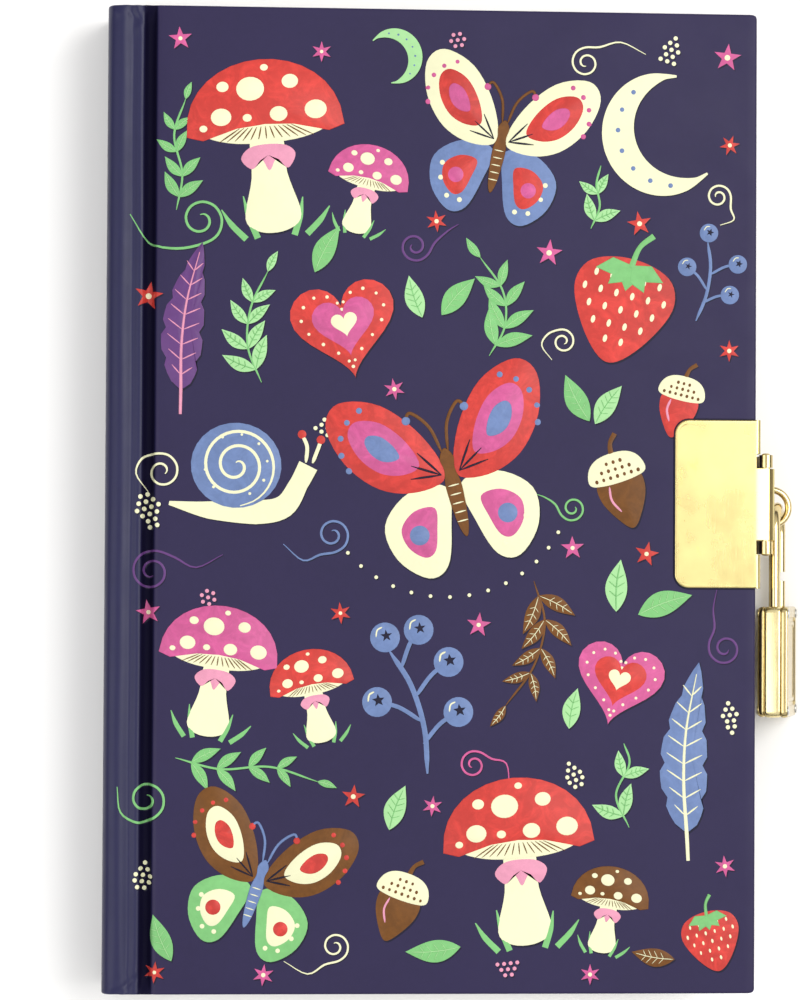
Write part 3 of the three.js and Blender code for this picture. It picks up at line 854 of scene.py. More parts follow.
# ---------- head and tail bands: thread wound over a core in two colours ----------
for name, side, cad in (("head_band_threads", 1, "head_band"), ("tail_band_threads", -1, "tail_band")):
    rings, colours = [], []
    low, high, turns, steps = 3.62, 14.78, 28, 6
    for i in range(turns * steps + 1):
        f = (i % steps) / steps
        r = 0.50 + 0.145 * abs(math.sin(math.pi * f)) ** 0.6
        z = low + (high - low) * i / (turns * steps)
        rings.append(
            [
                (-52.75 + r * math.cos(math.radians(15 * k)), side * 86.72 + r * math.sin(math.radians(15 * k)), z + 0.1 * math.cos(math.radians(15 * k)))
                for k in range(24)
            ]
        )
        if i:
            colours += [((i - 1) // steps) % 2] * 24
    verts, faces = lofted(rings)
    obj = new_object(name, verts, faces, [thread_red, thread_cream], colours + [0, 1])
    weld(obj, 1e-5)
    placed(obj, "text_block", (cad,))


# ---------- front plate: one sheet, bent down over the edge and rolled round the pin ----------
def arc(cx, cz, r, a0, a1, n):
    return [(cx + r * math.cos(math.radians(a0 + (a1 - a0) * i / n)), cz + r * math.sin(math.radians(a0 + (a1 - a0) * i / n))) for i in range(n + 1)]


def bent_sheet(name, left, half, corner, right, z_top, thickness, edge_bevel, strips, flip=False):
    """A flat sheet with two rounded corners. Each strip is (y0, y1, path in x and z) and goes on from the right edge."""
    ys = sorted({-half, half} | {y for s in strips for y in s[:2]})
    verts = [(right, CLASP_Y + y, z_top) for y in ys]
    flat = list(range(len(ys)))
    for i in range(11):
        a = math.radians(90 + 9 * i)
        verts.append((left + corner + corner * math.cos(a), CLASP_Y + half - corner + corner * math.sin(a), z_top))
        flat.append(len(verts) - 1)
    for i in range(11):
        a = math.radians(180 + 9 * i)
        verts.append((left + corner + corner * math.cos(a), CLASP_Y - half + corner + corner * math.sin(a), z_top))
        flat.append(len(verts) - 1)
    faces = [tuple(flat)]
    for y0, y1, path in strips:
        a, b = ys.index(y0), ys.index(y1)
        for x, z in path:
            verts += [(x, CLASP_Y + y0, z), (x, CLASP_Y + y1, z)]
            c, d = len(verts) - 2, len(verts) - 1
            faces.append((a, c, d, b))
            a, b = c, d
    obj = new_object(name, verts, faces, [plate_brass])
    bm = bmesh.new()
    bm.from_mesh(obj.data)
    bmesh.ops.recalc_face_normals(bm, faces=bm.faces)
    flat_face = max(bm.faces, key=lambda f: f.calc_area())
    if flat_face.normal.z < 0:
        bmesh.ops.reverse_faces(bm, faces=bm.faces)
    bm.to_mesh(obj.data)
    bm.free()
    baked(obj, ("SOLIDIFY", dict(thickness=thickness, offset=-1.0, use_even_offset=True, use_quality_normals=True)))
    bm = bmesh.new()
    bm.from_mesh(obj.data)
    rim = []
    for e in bm.edges:
        a, b = e.verts
        if min(a.co.z, b.co.z) > z_top - 1e-3 and max(a.co.x, b.co.x) < right + 1e-3 and min(a.co.x, b.co.x) < right - 1e-3:
            if len(e.link_faces) == 2 and abs(e.link_faces[0].normal.dot(e.link_faces[1].normal)) < 0.3:
                rim.append(e)
    bmesh.ops.bevel(bm, geom=rim, offset=edge_bevel, segments=4, profile=0.55, affect="EDGES", clamp_overlap=False)
    # a fine pressed line inside the rounded rim, deepest on the left, gone beyond the corners
    top = max((f for f in bm.faces if f.normal.z > 0.9), key=lambda f: f.calc_area())
    bmesh.ops.inset_region(bm, faces=[top], thickness=0.24, depth=0.0)
    for thickness in (0.14, 0.03, 0.14):
        outline = set(top.verts)
        bmesh.ops.inset_region(bm, faces=[top], thickness=thickness, depth=0.0)
        if thickness == 0.14:
            for e in bm.edges:
                if e.verts[0] in outline and e.verts[1] in outline and max(v.co.x for v in e.verts) < left + 2.3:
                    e.smooth = False
            for e in top.edges:
                if max(v.co.x for v in e.verts) < left + 2.3:
                    e.smooth = False
        else:
            for v in outline | set(top.verts):
                v.co.z -= 0.10 * min(1.0, max(0.0, (left + 2.2 - v.co.x) / 1.0))
    bm.to_mesh(obj.data)
    bm.free()
    return obj


SHEET_TOP = 18.85
flange = arc(59.0, SHEET_TOP - 0.87, 0.87, 90, 0, 9)[1:] + [(59.87, 17.0), (59.87, 16.4), (59.87, 15.92)]
tongue = [(59.4, 18.828), (60.2, 18.738), (61.4, 18.555), (61.5, 18.471), (62.12, 17.951), (62.22, 17.867), (62.44, 17.62), (62.56, 17.40)]
tongue += arc(PIN_X, SHEET_TOP - 1.6, 1.6, -3, -206, 26)
front_plate = bent_sheet(
    "front_plate_sheet",
    44.1,
    15.3,
    2.6,
    59.0,
    SHEET_TOP,
    0.42,
    0.30,
    [(-15.3, -9.15, flange), (-6.5, 6.5, tongue), (9.15, 15.3, flange)],
)
bevelled(front_plate, 0.06, 2, 38)
# painted reflection: the outward faces along the sharpest part of the bend get a darker brass, standing in for the
# dark surroundings that the bend reflects
front_plate.data.materials.append(bend_brass_painted_reflection)
for face in front_plate.data.polygons:
    if 61.38 < face.center.x < 62.24 and face.normal.x > 0.3 and face.normal.z > 0.3:
        face.material_index = 1
placed(front_plate, "front_cover", ("front_plate",))

pin = new_object("hasp_pin_rod", *tube([(PIN_X, CLASP_Y + y, PIN_Z) for y in (-9.0, -6.0, 0.0, 6.0, 9.0)], 0.8, 28), [wire_brass])
placed(pin, "front_cover", ("hasp_pin",))

flap = copy_of("hasp_flap", "hasp_flap_sheet", [lock_brass])
bevelled(flap, 0.09, 3, 30)
placed(flap, "hasp", ("hasp_flap",))

under = copy_of("back_plate", "back_plate_sheet", [plate_brass])
bevelled(under, 0.07, 3, 30)
placed(under, "back_cover", ("back_plate",))

# ---------- staple ----------
line = [(x, STAPLE_Y - STAPLE_R, STAPLE_Z) for x in (58.9, 59.6, 60.8, 62.2)]
for i in range(25):
    a = -math.pi / 2 + math.pi * i / 24
    line.append((STAPLE_X + STAPLE_R * math.cos(a), STAPLE_Y + STAPLE_R * math.sin(a), STAPLE_Z))
line += [(x, STAPLE_Y + STAPLE_R, STAPLE_Z) for x in (62.2, 60.8, 59.6, 58.9)]
parts = [tube(line, 0.63, 24, dome=False)]
for y in (STAPLE_Y - STAPLE_R, STAPLE_Y + STAPLE_R):
    rings = []
    for x, r in ((59.06, 0.6), (59.04, 0.9), (58.95, 1.0), (58.8, 1.0), (58.7, 0.85), (58.64, 0.5)):
        rings.append([(x, y + r * math.cos(math.radians(20 * k)), STAPLE_Z + r * math.sin(math.radians(20 * k))) for k in range(18)])
    parts.append(lofted(rings))
staple = weld(new_object("ring_staple_wire", *joined(*parts), [wire_brass]), 1e-5)
placed(staple, "back_cover", ("ring_staple",))


# ---------- padlock, made in its own frame: x through its thickness, y along the legs, z across ----------
def in_lock(obj, body, replaces):
    obj.data.transform(LOCK)
    return placed(obj, body, replaces)


LEG_U, BOW_V, TOE, HEEL = 4.7, 28.37 - 4.7, CASE_H / 2 - 0.3, CASE_H / 2 - 4.5
path = [(0, v, LEG_U) for v in (HEEL, 8.0, 12.0, 16.0, 20.0, 22.6)]
path += [(0, BOW_V + LEG_U * math.sin(math.pi * i / 28), LEG_U * math.cos(math.pi * i / 28)) for i in range(29)]
path += [(0, v, -LEG_U) for v in (22.6, 20.0, 17.0, 16.62, 16.55, 16.5, 16.3, 15.7, 15.1, 14.9, 14.85, 14.78, 13.0, TOE + 0.4, TOE + 0.1)]
verts, faces = tube(path, 1.0, 28)
for v in verts:
    if v.z < -2 and 14.87 < v.y < 16.53:
        v.x = min(v.x, 0.02)
shackle = weld(new_object("padlock_shackle_wire", verts, faces, [wire_brass]), 1e-5)
shackle.data.set_sharp_from_angle(angle=math.radians(45))
in_lock(shackle, "shackle", ("padlock_shackle",))

# the middle of the case: slightly crowned, its edges let in beside the two covers, with the bores that it needs
rings = []
for w, inset, r in (
    (-1.5, 0.34, 0.95),
    (-1.44, 0.20, 1.05),
    (-1.32, 0.10, 1.12),
    (-1.05, 0.045, 1.17),
    (-0.6, 0.012, 1.19),
    (0.0, 0.0, 1.2),
    (0.6, 0.012, 1.19),
    (1.05, 0.045, 1.17),
    (1.32, 0.10, 1.12),
    (1.44, 0.20, 1.05),
    (1.5, 0.34, 0.95),
):
    rings.append([(w, v, u) for v, u in rounded_rect(-CASE_H / 2 + inset, -CASE_W / 2 + inset, CASE_H / 2 - inset, CASE_W / 2 - inset, r, 6)])
case_band = weld(new_object("case_band_body", *lofted(rings), [band_brass]), 1e-5)
for x0, y0, z0, x1, y1, z1, r in (
    (0, CASE_H / 2 - 3.0, LEG_U, 0, CASE_H / 2 + 1, LEG_U, 1.08),
    (0, CASE_H / 2 - 3.0, -LEG_U, 0, CASE_H / 2 + 1, -LEG_U, 1.08),
    (0, -CASE_H / 2 - 1, 0, 0, -CASE_H / 2 + 4.0, 0, 1.2),
):
    loops = [[(x0 + r * math.cos(math.radians(9 * k)), y, z0 + r * math.sin(math.radians(9 * k))) for k in range(40)] for y in (y0, y1)]
    cutter = new_object("bore_cutter", *lofted(loops), [])
    weld(cutter, 1e-5)
    baked(case_band, ("BOOLEAN", dict(operation="DIFFERENCE", object=cutter, solver="EXACT")))
    bpy.data.objects.remove(cutter)
window = [[(x, y, z) for y, z in rounded_rect(-CASE_H / 2 + 3.25, -6.3, CASE_H / 2 - 1.95, 6.3, 0.3, 3)] for x in (-5, 5)]
cutter = new_object("window_cutter", *lofted(window), [])
weld(cutter, 1e-5)
baked(case_band, ("BOOLEAN", dict(operation="DIFFERENCE", object=cutter, solver="EXACT")))
bpy.data.objects.remove(cutter)
case_band.data.set_sharp_from_angle(angle=math.radians(50))


def shell(name, side, node_name):
    """A pressed cover: rolled rim, sunk field, raised frame round a plain panel."""
    hv, hu = CASE_H / 2, CASE_W / 2
    if side < 0:  # a soft rolled rim
        steps = [(1.53, 0.34, 0.95), (1.58, 0.16, 1.1), (1.70, 0.05, 1.17), (1.90, 0.05, 1.2), (2.20, 0.11, 1.15)]
        steps += [(2.42, 0.20, 1.1), (2.60, 0.33, 1.05), (2.72, 0.50, 1.0), (2.78, 0.72, 0.95)]
    else:
        steps = [(1.53, 0.34, 0.95), (1.57, 0.16, 1.1), (1.66, 0.05, 1.17), (1.84, 0.0, 1.2), (2.20, 0.0, 1.2), (2.50, 0.05, 1.17)]
        steps += [(2.69, 0.13, 1.1), (2.76, 0.26, 1.0), (2.78, 0.42, 0.95)]
    steps += [
        (2.78, 1.75, 0.9),
        (2.76, 1.9, 0.85),
        (2.68, 2.02, 0.8),
        (2.58, 2.10, 0.8),
        (2.53, 2.2, 0.8),
        (2.53, 2.75, 0.7),
        (2.58, 2.83, 0.7),
        (2.66, 2.9, 0.65),
        (2.68, 3.0, 0.6),
        (2.68, 3.35, 0.5),
        (2.65, 3.45, 0.45),
        (2.56, 3.52, 0.4),
        (2.54, 3.6, 0.4),
    ]
    rings = []
    for w, inset, r in steps:
        outline = rounded_rect(-hv + inset, -hu + inset, hv - inset, hu - inset, r, 6)
        rings.append([(side * w, v, u) for v, u in outline])
    verts, faces = lofted(rings)
    obj = new_object(name, verts, faces, [lock_brass])
    weld(obj, 1e-5)
    obj.data.set_sharp_from_angle(angle=math.radians(60))
    baked(obj, ("WEIGHTED_NORMAL", dict(keep_sharp=True, weight=50)))
    return in_lock(obj, "lock_case", (node_name,))


in_lock(case_band, "lock_case", ("case_band",))
shell("case_outer_cover", 1, "case_outer_shell")
shell("case_inner_cover", -1, "case_inner_shell")

corners = [(CASE_H / 2 - 1.3, 6.75), (CASE_H / 2 - 1.3, -6.75), (-CASE_H / 2 + 1.3, 6.75), (-CASE_H / 2 + 1.3, -6.75)]
for i, (v, u) in enumerate(corners):
    rings = []
    for w, r in ((2.66, 0.5), (2.80, 0.84), (2.88, 0.85), (2.96, 0.76), (3.01, 0.55), (3.03, 0.25)):
        rings.append((w, r))
    profile = [(-w, r) for w, r in reversed(rings)] + rings
    loops = [[(w, v + r * math.cos(math.radians(18 * k)), u + r * math.sin(math.radians(18 * k))) for k in range(20)] for w, r in profile]
    rivet = weld(new_object(f"case_rivet_head_{i + 1}", *lofted(loops), [steel]), 1e-5)
    rivet.data.set_sharp_from_angle(angle=math.radians(60))
    in_lock(rivet, "lock_case", (f"case_rivet_{i + 1}",))

plug = copy_of("key_plug", "key_plug_barrel", [wire_brass])
bevelled(plug, 0.05, 2, 30)
placed(plug, "plug", ("key_plug",))

# CAD nodes that stay as they are, with finished materials
for name, material in (
    ("spine_lining", cloth),
    ("lock_core", steel),
    ("latch_plate", steel),
):
    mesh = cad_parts[name].data
    if not mesh.materials:
        mesh.materials.append(material)
    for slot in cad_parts[name].material_slots:
        slot.material = material

# the spring under the shackle's heel shortens when the shackle is pushed home
coil = copy_of("shackle_spring", "shackle_spring_coil", [steel])
reach = [v.co.y * MM for v in coil.data.vertices]
placed(coil, None, ("shackle_spring",), ("lock_case", "shackle", (0, min(reach), 0), (0, max(reach), 0)))


# ---------- the printed design: shapes cut from ink, standing a little proud, drawn in millimetres ----------
class Design:
    """Collects flat shapes. Heights are steps above the paper; below each main shape lies a painted drop shadow, a
    dark copy of it offset to the lower right.
    """

    def __init__(self):
        self.tris = []  # (colour, [(x, y, h), ...])
        self.laid = 0  # shapes so far; each lies a hair higher than the last, so that no two tops are at one height
        self.stack = [Matrix.Identity(3)]

    def push(self, x, y, turn=0.0, size=1.0, mirror=False):
        c, s = math.cos(math.radians(turn)), math.sin(math.radians(turn))
        m = Matrix(((c * size * (-1 if mirror else 1), -s * size, x), (s * size * (-1 if mirror else 1), c * size, y), (0, 0, 1)))
        self.stack.append(self.stack[-1] @ m)

    def pop(self):
        self.stack.pop()

    def at(self, p):
        v = self.stack[-1] @ Vector((p[0], p[1], 1))
        return v.x, v.y

    def scale(self):
        m = self.stack[-1]
        return math.sqrt(abs(m[0][0] * m[1][1] - m[0][1] * m[1][0]))

    def top_of(self, level):
        self.laid += 1
        step = self.laid * 7 % 19
        return 0.045 + 0.045 * level + 0.002 * step if level >= 0 else 0.010 + 0.0004 * step

    def fill(self, points, colour, level=0, centre=None, under=True, edge=0.13):
        """A shape that can be seen whole from its centre."""
        pts = [self.at(p) for p in points]
        if centre is None:
            centre = (sum(p[0] for p in pts) / len(pts), sum(p[1] for p in pts) / len(pts))
        else:
            centre = self.at(centre)
        # painted drop shadow: a dark copy of the shape, offset to the lower right, lies below it
        if level == 0 and under:
            self._fill([(x + 0.20, y - 0.24) for x, y in pts], "deep", -1, (centre[0] + 0.2, centre[1] - 0.24), 0.06, 1.012)
        self._fill(pts, colour, level, centre, edge)

    def _fill(self, pts, colour, level, centre, edge, grow=1.0):
        n = len(pts)
        top = self.top_of(level)
        cx, cy = centre
        outer, inner = [], []
        for x, y in pts:
            d = math.hypot(x - cx, y - cy) or 1e-6
            k = max(0.15, 1 - edge / d)
            outer.append((cx + (x - cx) * grow, cy + (y - cy) * grow))
            inner.append((cx + (x - cx) * k, cy + (y - cy) * k))
        low = -0.03
        for i in range(n):
            j = (i + 1) % n
            a, b, c, d = outer[i], outer[j], inner[i], inner[j]
            mid = top * 0.55
            self.tris.append((colour, [(*a, low), (*b, low), (*b, mid), (*a, mid)]))
            self.tris.append((colour, [(*a, mid), (*b, mid), (*d, top), (*c, top)]))
            self.tris.append((colour, [(*c, top), (*d, top), (cx, cy, top)]))

    def stroke(self, points, width, colour, level=0, under=True, steps=6, taper=(0.35, 0.35), closed=False):
        """A brush line through the points; width is in local units, or a list along it."""
        line = smooth_line([(p[0], p[1], 0) for p in points], steps, closed)
        pts = [self.at((p.x, p.y)) for p in line]
        n = len(pts)
        k = self.scale()
        widths = []
        for i in range(n):
            t = i / (n - 1)
            if hasattr(width, "__len__"):
                f = t * (len(width) - 1)
                a = int(min(f, len(width) - 2))
                w = width[a] + (width[a + 1] - width[a]) * (f - a)
            else:
                w = width
                if not closed:
                    w *= min(1.0, taper[0] + (1 - taper[0]) * t / 0.12) * min(1.0, taper[1] + (1 - taper[1]) * (1 - t) / 0.12)
            widths.append(w * k / 2)
        # painted drop shadow: a dark copy of the line, offset to the lower right, lies below it
        if level == 0 and under:
            self._stroke([(x + 0.14, y - 0.18) for x, y in pts], [w * 1.02 for w in widths], "deep", -1)
        self._stroke(pts, widths, colour, level)

    def _stroke(self, pts, widths, colour, level):
        n = len(pts)
        top = self.top_of(level)
        rows = []
        for i, (x, y) in enumerate(pts):
            ax, ay = pts[max(0, i - 1)]
            bx, by = pts[min(n - 1, i + 1)]
            dx, dy = bx - ax, by - ay
            length = math.hypot(dx, dy) or 1e-6
            nx, ny = -dy / length, dx / length
            w = max(widths[i], 0.03)
            rows.append(
                [
                    (x + nx * w, y + ny * w, -0.03),
                    (x + nx * w, y + ny * w, top * 0.45),
                    (x + nx * w * 0.55, y + ny * w * 0.55, top),
                    (x - nx * w * 0.55, y - ny * w * 0.55, top),
                    (x - nx * w, y - ny * w, top * 0.45),
                    (x - nx * w, y - ny * w, -0.03),
                ]
            )
        for i in range(n - 1):
            for k in range(5):
                self.tris.append((colour, [rows[i][k], rows[i][k + 1], rows[i + 1][k + 1], rows[i + 1][k]]))
        for row in (rows[0], rows[-1]):
            self.tris.append((colour, [row[0], row[1], row[4], row[5]]))
            self.tris.append((colour, [row[1], row[2], row[3], row[4]]))

    # simple outlines
    def disc(self, x, y, rx, ry, colour, level=0, turn=0.0, n=28, under=True):
        c, s = math.cos(math.radians(turn)), math.sin(math.radians(turn))
        pts = []
        for i in range(n):
            a = 2 * math.pi * i / n
            u, v = rx * math.cos(a), ry * math.sin(a)
            pts.append((x + u * c - v * s, y + u * s + v * c))
        self.fill(pts, colour, level, (x, y), under, edge=min(0.13, 0.4 * min(rx, ry) * self.scale()))

    def blob(self, points, colour, level=0, centre=None, steps=5, under=True):
        line = smooth_line([(p[0], p[1], 0) for p in points], steps, True)
        self.fill([(p.x, p.y) for p in line], colour, level, centre, under)

    def star(self, x, y, r, colour, level=0, points=5, inner=0.42, turn=90.0, round_=0.0, under=True):
        pts = []
        for i in range(points * 2):
            rr = r if i % 2 == 0 else r * inner
            a = math.radians(turn + 180 * i / points)
            pts.append((x + rr * math.cos(a), y + rr * math.sin(a)))
        if round_:
            line = smooth_line([(p[0], p[1], 0) for p in pts], 5, True)
            pts = [(p.x, p.y) for p in line]
        self.fill(pts, colour, level, (x, y), under)


ART = Design()


def leaf(x, y, length, width, turn, colour="mint", vein="deep", level=0, veins=5, half=None):
    """A pointed leaf from its stalk end, with a rib and side veins."""
    ART.push(x, y, turn)
    pts = []
    for i in range(17):
        t = i / 16
        pts.append((length * t, width * 0.5 * math.sin(math.pi * t ** 0.85) ** 1.05 + 0.04 * length * math.sin(math.pi * t)))
    low = [(length * (1 - i / 16), -width * 0.5 * math.sin(math.pi * (1 - i / 16) ** 0.85) ** 1.05 + 0.04 * length * math.sin(math.pi * i / 16)) for i in range(1, 16)]
    ART.fill(pts + low, colour, level, (length * 0.45, 0.03 * length))
    if half:
        ART.fill(pts + [(length * (1 - i / 8), 0.04 * length * math.sin(math.pi * (1 - i / 8))) for i in range(1, 8)], half, level + 1, (length * 0.45, width * 0.2))
    if veins:
        mid = lambda t: (length * t, 0.04 * length * math.sin(math.pi * t))
        ART.stroke([mid(0.04), mid(0.3), mid(0.6), mid(0.9)], max(0.16, width * 0.05), vein, level + 2, False)
        for k in range(1, veins + 1):
            t = 0.12 + 0.68 * k / (veins + 1)
            reach = width * 0.36 * math.sin(math.pi * t ** 0.85)
            a = mid(t)
            for s in (1, -1):
                ART.stroke([a, (a[0] + reach * 0.7, a[1] + s * reach)], max(0.13, width * 0.035), vein, level + 2, False, 3)
    ART.pop()


def sprig(points, count, length, width, colour="mint", stalk="mint", vein="deep", line=0.38, spread=42, veins=3, tip=True, grow=0.0):
    """A curved stalk with pairs of leaves."""
    line_pts = smooth_line([(p[0], p[1], 0) for p in points], 14)
    ART.stroke(points, line, stalk, 0, steps=12)
    n = len(line_pts)
    for k in range(count):
        t = 0.12 + 0.80 * k / count
        i = min(n - 2, int(t * n))
        d = line_pts[i + 1] - line_pts[max(0, i - 1)]
        a = math.degrees(math.atan2(d.y, d.x))
        size = (1 - 0.45 * t) * (1 + grow * math.sin(math.pi * t))
        for s in (1, -1):
            leaf(line_pts[i].x, line_pts[i].y, length * size, width * size, a + s * spread, colour, vein, 0, veins)
    if tip:
        d = line_pts[-1] - line_pts[-3]
        leaf(line_pts[-1].x, line_pts[-1].y, length * 0.6, width * 0.6, math.degrees(math.atan2(d.y, d.x)), colour, vein, 0, veins)


def curl(x, y, r, turns, turn, colour, width=0.42, lead=(), mirror=False):
    """A lead-in line that ends in a spiral."""
    ART.push(x, y, turn, 1, mirror)
    pts = list(lead)
    n = int(turns * 9)
    for i in range(n + 1):
        t = i / n
        a = 2 * math.pi * turns * t - math.pi / 2
        rr = r * (1 - 0.78 * t)
        pts.append((rr * math.cos(a), r + rr * math.sin(a) - (r - 0) * 0.0))
    ART.stroke(pts, width, colour, 0, steps=4)
    ART.pop()


def dots(points, r, colour="cream", level=0):
    for x, y in points:
        ART.disc(x, y, r, r, colour, level, n=12)


def toadstool(x, y, size, turn=0.0, cap="coral", spots="cream", stem="cream", mirror=False):
    ART.push(x, y, turn, size, mirror)
    ART.blob([(-0.10, 0.0), (-0.13, -0.32), (-0.20, -0.60), (-0.10, -0.70), (0.08, -0.70), (0.19, -0.60), (0.12, -0.30), (0.10, 0.0)], stem, 0, (0, -0.35))
    ART.blob([(-0.19, -0.18), (-0.12, -0.26), (-0.05, -0.20), (0.0, -0.28), (0.06, -0.20), (0.13, -0.27), (0.19, -0.17), (0.1, -0.10), (-0.1, -0.10)], "pink", 1, (0, -0.17))
    ART.blob([(-0.42, 0.0), (-0.2, -0.075), (0.2, -0.075), (0.42, 0.0), (0.2, 0.06), (-0.2, 0.06)], "cream", 1, (0, 0))
    for k in range(-6, 7):
        ART.stroke([(k * 0.03, 0.03), (k * 0.055, -0.055)], 0.010, "brown", 3, False, 3)
    top = [(-0.55, 0.0)] + [(-0.55 * math.cos(math.pi * i / 16) * (1 - 0.05 * math.sin(math.pi * i / 16)), 0.50 * math.sin(math.pi * i / 16) ** 0.82) for i in range(1, 16)] + [(0.55, 0.0)]
    low = [(0.44, -0.035), (0.2, 0.03), (0.0, 0.045), (-0.2, 0.03), (-0.44, -0.035)]
    ART.fill(top + low, cap, 2, (0, 0.18))
    for dx, dy, r in ((-0.30, 0.12, 0.075), (-0.08, 0.30, 0.10), (0.20, 0.33, 0.06), (0.10, 0.11, 0.065), (0.36, 0.12, 0.08), (-0.27, 0.33, 0.045), (-0.12, 0.10, 0.035), (0.03, 0.44, 0.03), (-0.43, 0.05, 0.03)):
        ART.disc(dx, dy, r, r * 0.86, spots, 3, under=False, n=20)
    for k, (dx, h, lean) in enumerate(((-0.26, 0.22, -0.10), (-0.16, 0.30, -0.04), (0.16, 0.26, 0.05), (0.27, 0.18, 0.12))):
        ART.stroke([(dx * 0.8, -0.74), (dx + lean * 0.4, -0.74 + h * 0.5), (dx + lean, -0.74 + h)], [0.045, 0.04, 0.008], "mint", 0, False)
    ART.pop()


def butterfly(x, y, size, turn, wing, inner, lower, spot, body="brown"):
    ART.push(x, y, turn, size)
    for side in (1, -1):
        P = lambda pts: [(side * a, b) for a, b in pts]
        low = [(0.04, -0.04), (0.25, -0.02), (0.42, -0.16), (0.40, -0.36), (0.26, -0.50), (0.14, -0.46), (0.07, -0.26)]
        ART.blob(P(low), lower, 0, (side * 0.23, -0.24))
        cx, cy = 0.24, -0.25
        ART.blob(P([(cx + (a - cx) * 0.55, cy + (b - cy) * 0.55) for a, b in low]), inner, 1, (side * 0.24, -0.25))
        ART.disc(side * 0.25, -0.26, 0.055, 0.055, spot, 2)
        dots([(side * 0.355, -0.20), (side * 0.345, -0.30), (side * 0.28, -0.41), (side * 0.19, -0.42)], 0.017, "cream", 1)
        up = [(0.03, 0.02), (0.10, 0.26), (0.28, 0.48), (0.50, 0.55), (0.60, 0.44), (0.55, 0.22), (0.40, 0.04), (0.20, -0.03)]
        ART.blob(P(up), wing, 1, (side * 0.33, 0.24))
        cx, cy = 0.34, 0.25
        ART.blob(P([(cx + (a - cx) * 0.60, cy + (b - cy) * 0.60) for a, b in up]), inner, 2, (side * 0.34, 0.25))
        ART.blob(P([(cx + (a - cx) * 0.30, cy + (b - cy) * 0.30) for a, b in up]), spot, 3, (side * 0.34, 0.25))
        for k in range(5):
            a = math.radians(72 - 24 * k)
            ART.disc(side * (0.33 + 0.225 * math.cos(a)), 0.25 + 0.225 * math.sin(a) + 0.02, 0.018, 0.018, spot, 2, n=12)
        for q in ((0.15, 0.18), (0.20, 0.12), (0.22, 0.05)):
            ART.stroke([(side * 0.05, 0.03), (side * q[0], q[1])], 0.014, "deep", 3, False, 3)
        ART.stroke([(side * 0.015, 0.14), (side * 0.05, 0.30), (side * 0.13, 0.40), (side * 0.17, 0.37)], 0.018, body, 2)
        ART.disc(side * 0.165, 0.365, 0.024, 0.024, spot, 3, n=14)
    ART.blob([(0, 0.17), (0.038, 0.12), (0.03, 0.05), (0.045, -0.05), (0.03, -0.25), (0, -0.33), (-0.03, -0.25), (-0.045, -0.05), (-0.03, 0.05), (-0.038, 0.12)], body, 3, (0, -0.05))
    for k in range(5):
        ART.stroke([(-0.03, -0.04 - 0.05 * k), (0.03, -0.04 - 0.05 * k)], 0.012, "cream", 4, False, 3)
    ART.pop()


def moon(x, y, size, turn, colour="cream"):
    """A crescent, as one broad brush line with a row of small dots on it."""
    ART.push(x, y, turn, size)
    pts = [(0.5 * math.cos(math.radians(a)), 0.5 * math.sin(math.radians(a))) for a in range(62, 300, 14)]
    n = len(pts)
    ART.stroke(pts, [0.02] + [0.30 * math.sin(math.pi * (i + 0.5) / n) ** 0.75 for i in range(n)] + [0.02], colour, 0, steps=5)
    for k in range(7):
        a = math.radians(112 + 22 * k)
        ART.disc(0.5 * math.cos(a), 0.5 * math.sin(a), 0.022, 0.022, "blue", 1, n=12)
    ART.pop()


def heart(x, y, size, turn=0.0, colour="coral", inner="rose", dot="cream"):
    def outline(k, dy=0.0):
        out = []
        for i in range(40):
            a = 2 * math.pi * i / 40
            px = 0.5 * math.sin(a) ** 3
            py = (13 * math.cos(a) - 5 * math.cos(2 * a) - 2 * math.cos(3 * a) - math.cos(4 * a)) / 32.0
            out.append((px * k, (py + 0.02) * k + dy))
        return out

    ART.push(x, y, turn, size)
    ART.fill(outline(1.0), colour, 0, (0, -0.02))
    ART.fill(outline(0.60, 0.01), inner, 1, (0, 0.0))
    ART.fill(outline(0.26, 0.015), dot, 2, (0, 0.0))
    for i in range(22):
        a = 2 * math.pi * (i + 0.5) / 22
        px = 0.5 * math.sin(a) ** 3
        py = (13 * math.cos(a) - 5 * math.cos(2 * a) - 2 * math.cos(3 * a) - math.cos(4 * a)) / 32.0
        ART.disc(px * 0.80, (py + 0.02) * 0.80, 0.017, 0.017, dot, 1, n=10)
    ART.pop()


def acorn(x, y, size, turn=0.0, nut="brown", cup="cream"):
    ART.push(x, y, turn, size)
    ART.stroke([(0.0, 0.30), (0.03, 0.46), (0.12, 0.56)], [0.07, 0.05, 0.06], "brown", 0)
    ART.blob([(-0.25, 0.06), (-0.27, -0.16), (-0.14, -0.42), (0, -0.56), (0.14, -0.42), (0.27, -0.16), (0.25, 0.06), (0, 0.1)], nut, 0, (0, -0.18))
    ART.stroke([(-0.13, -0.02), (-0.15, -0.18), (-0.08, -0.34)], 0.035, "pink", 1, False)
    ART.blob([(-0.34, 0.06), (-0.30, 0.24), (-0.14, 0.34), (0.14, 0.34), (0.30, 0.24), (0.34, 0.06), (0.16, 0.0), (-0.16, 0.0)], cup, 1, (0, 0.15))
    for r in range(3):
        for k in range(-3 + r, 4 - r):
            ART.disc(k * 0.085 + (0.0 if r % 2 else 0.0), 0.075 + 0.085 * r, 0.022, 0.026, "brown", 2, n=10)
    ART.pop()


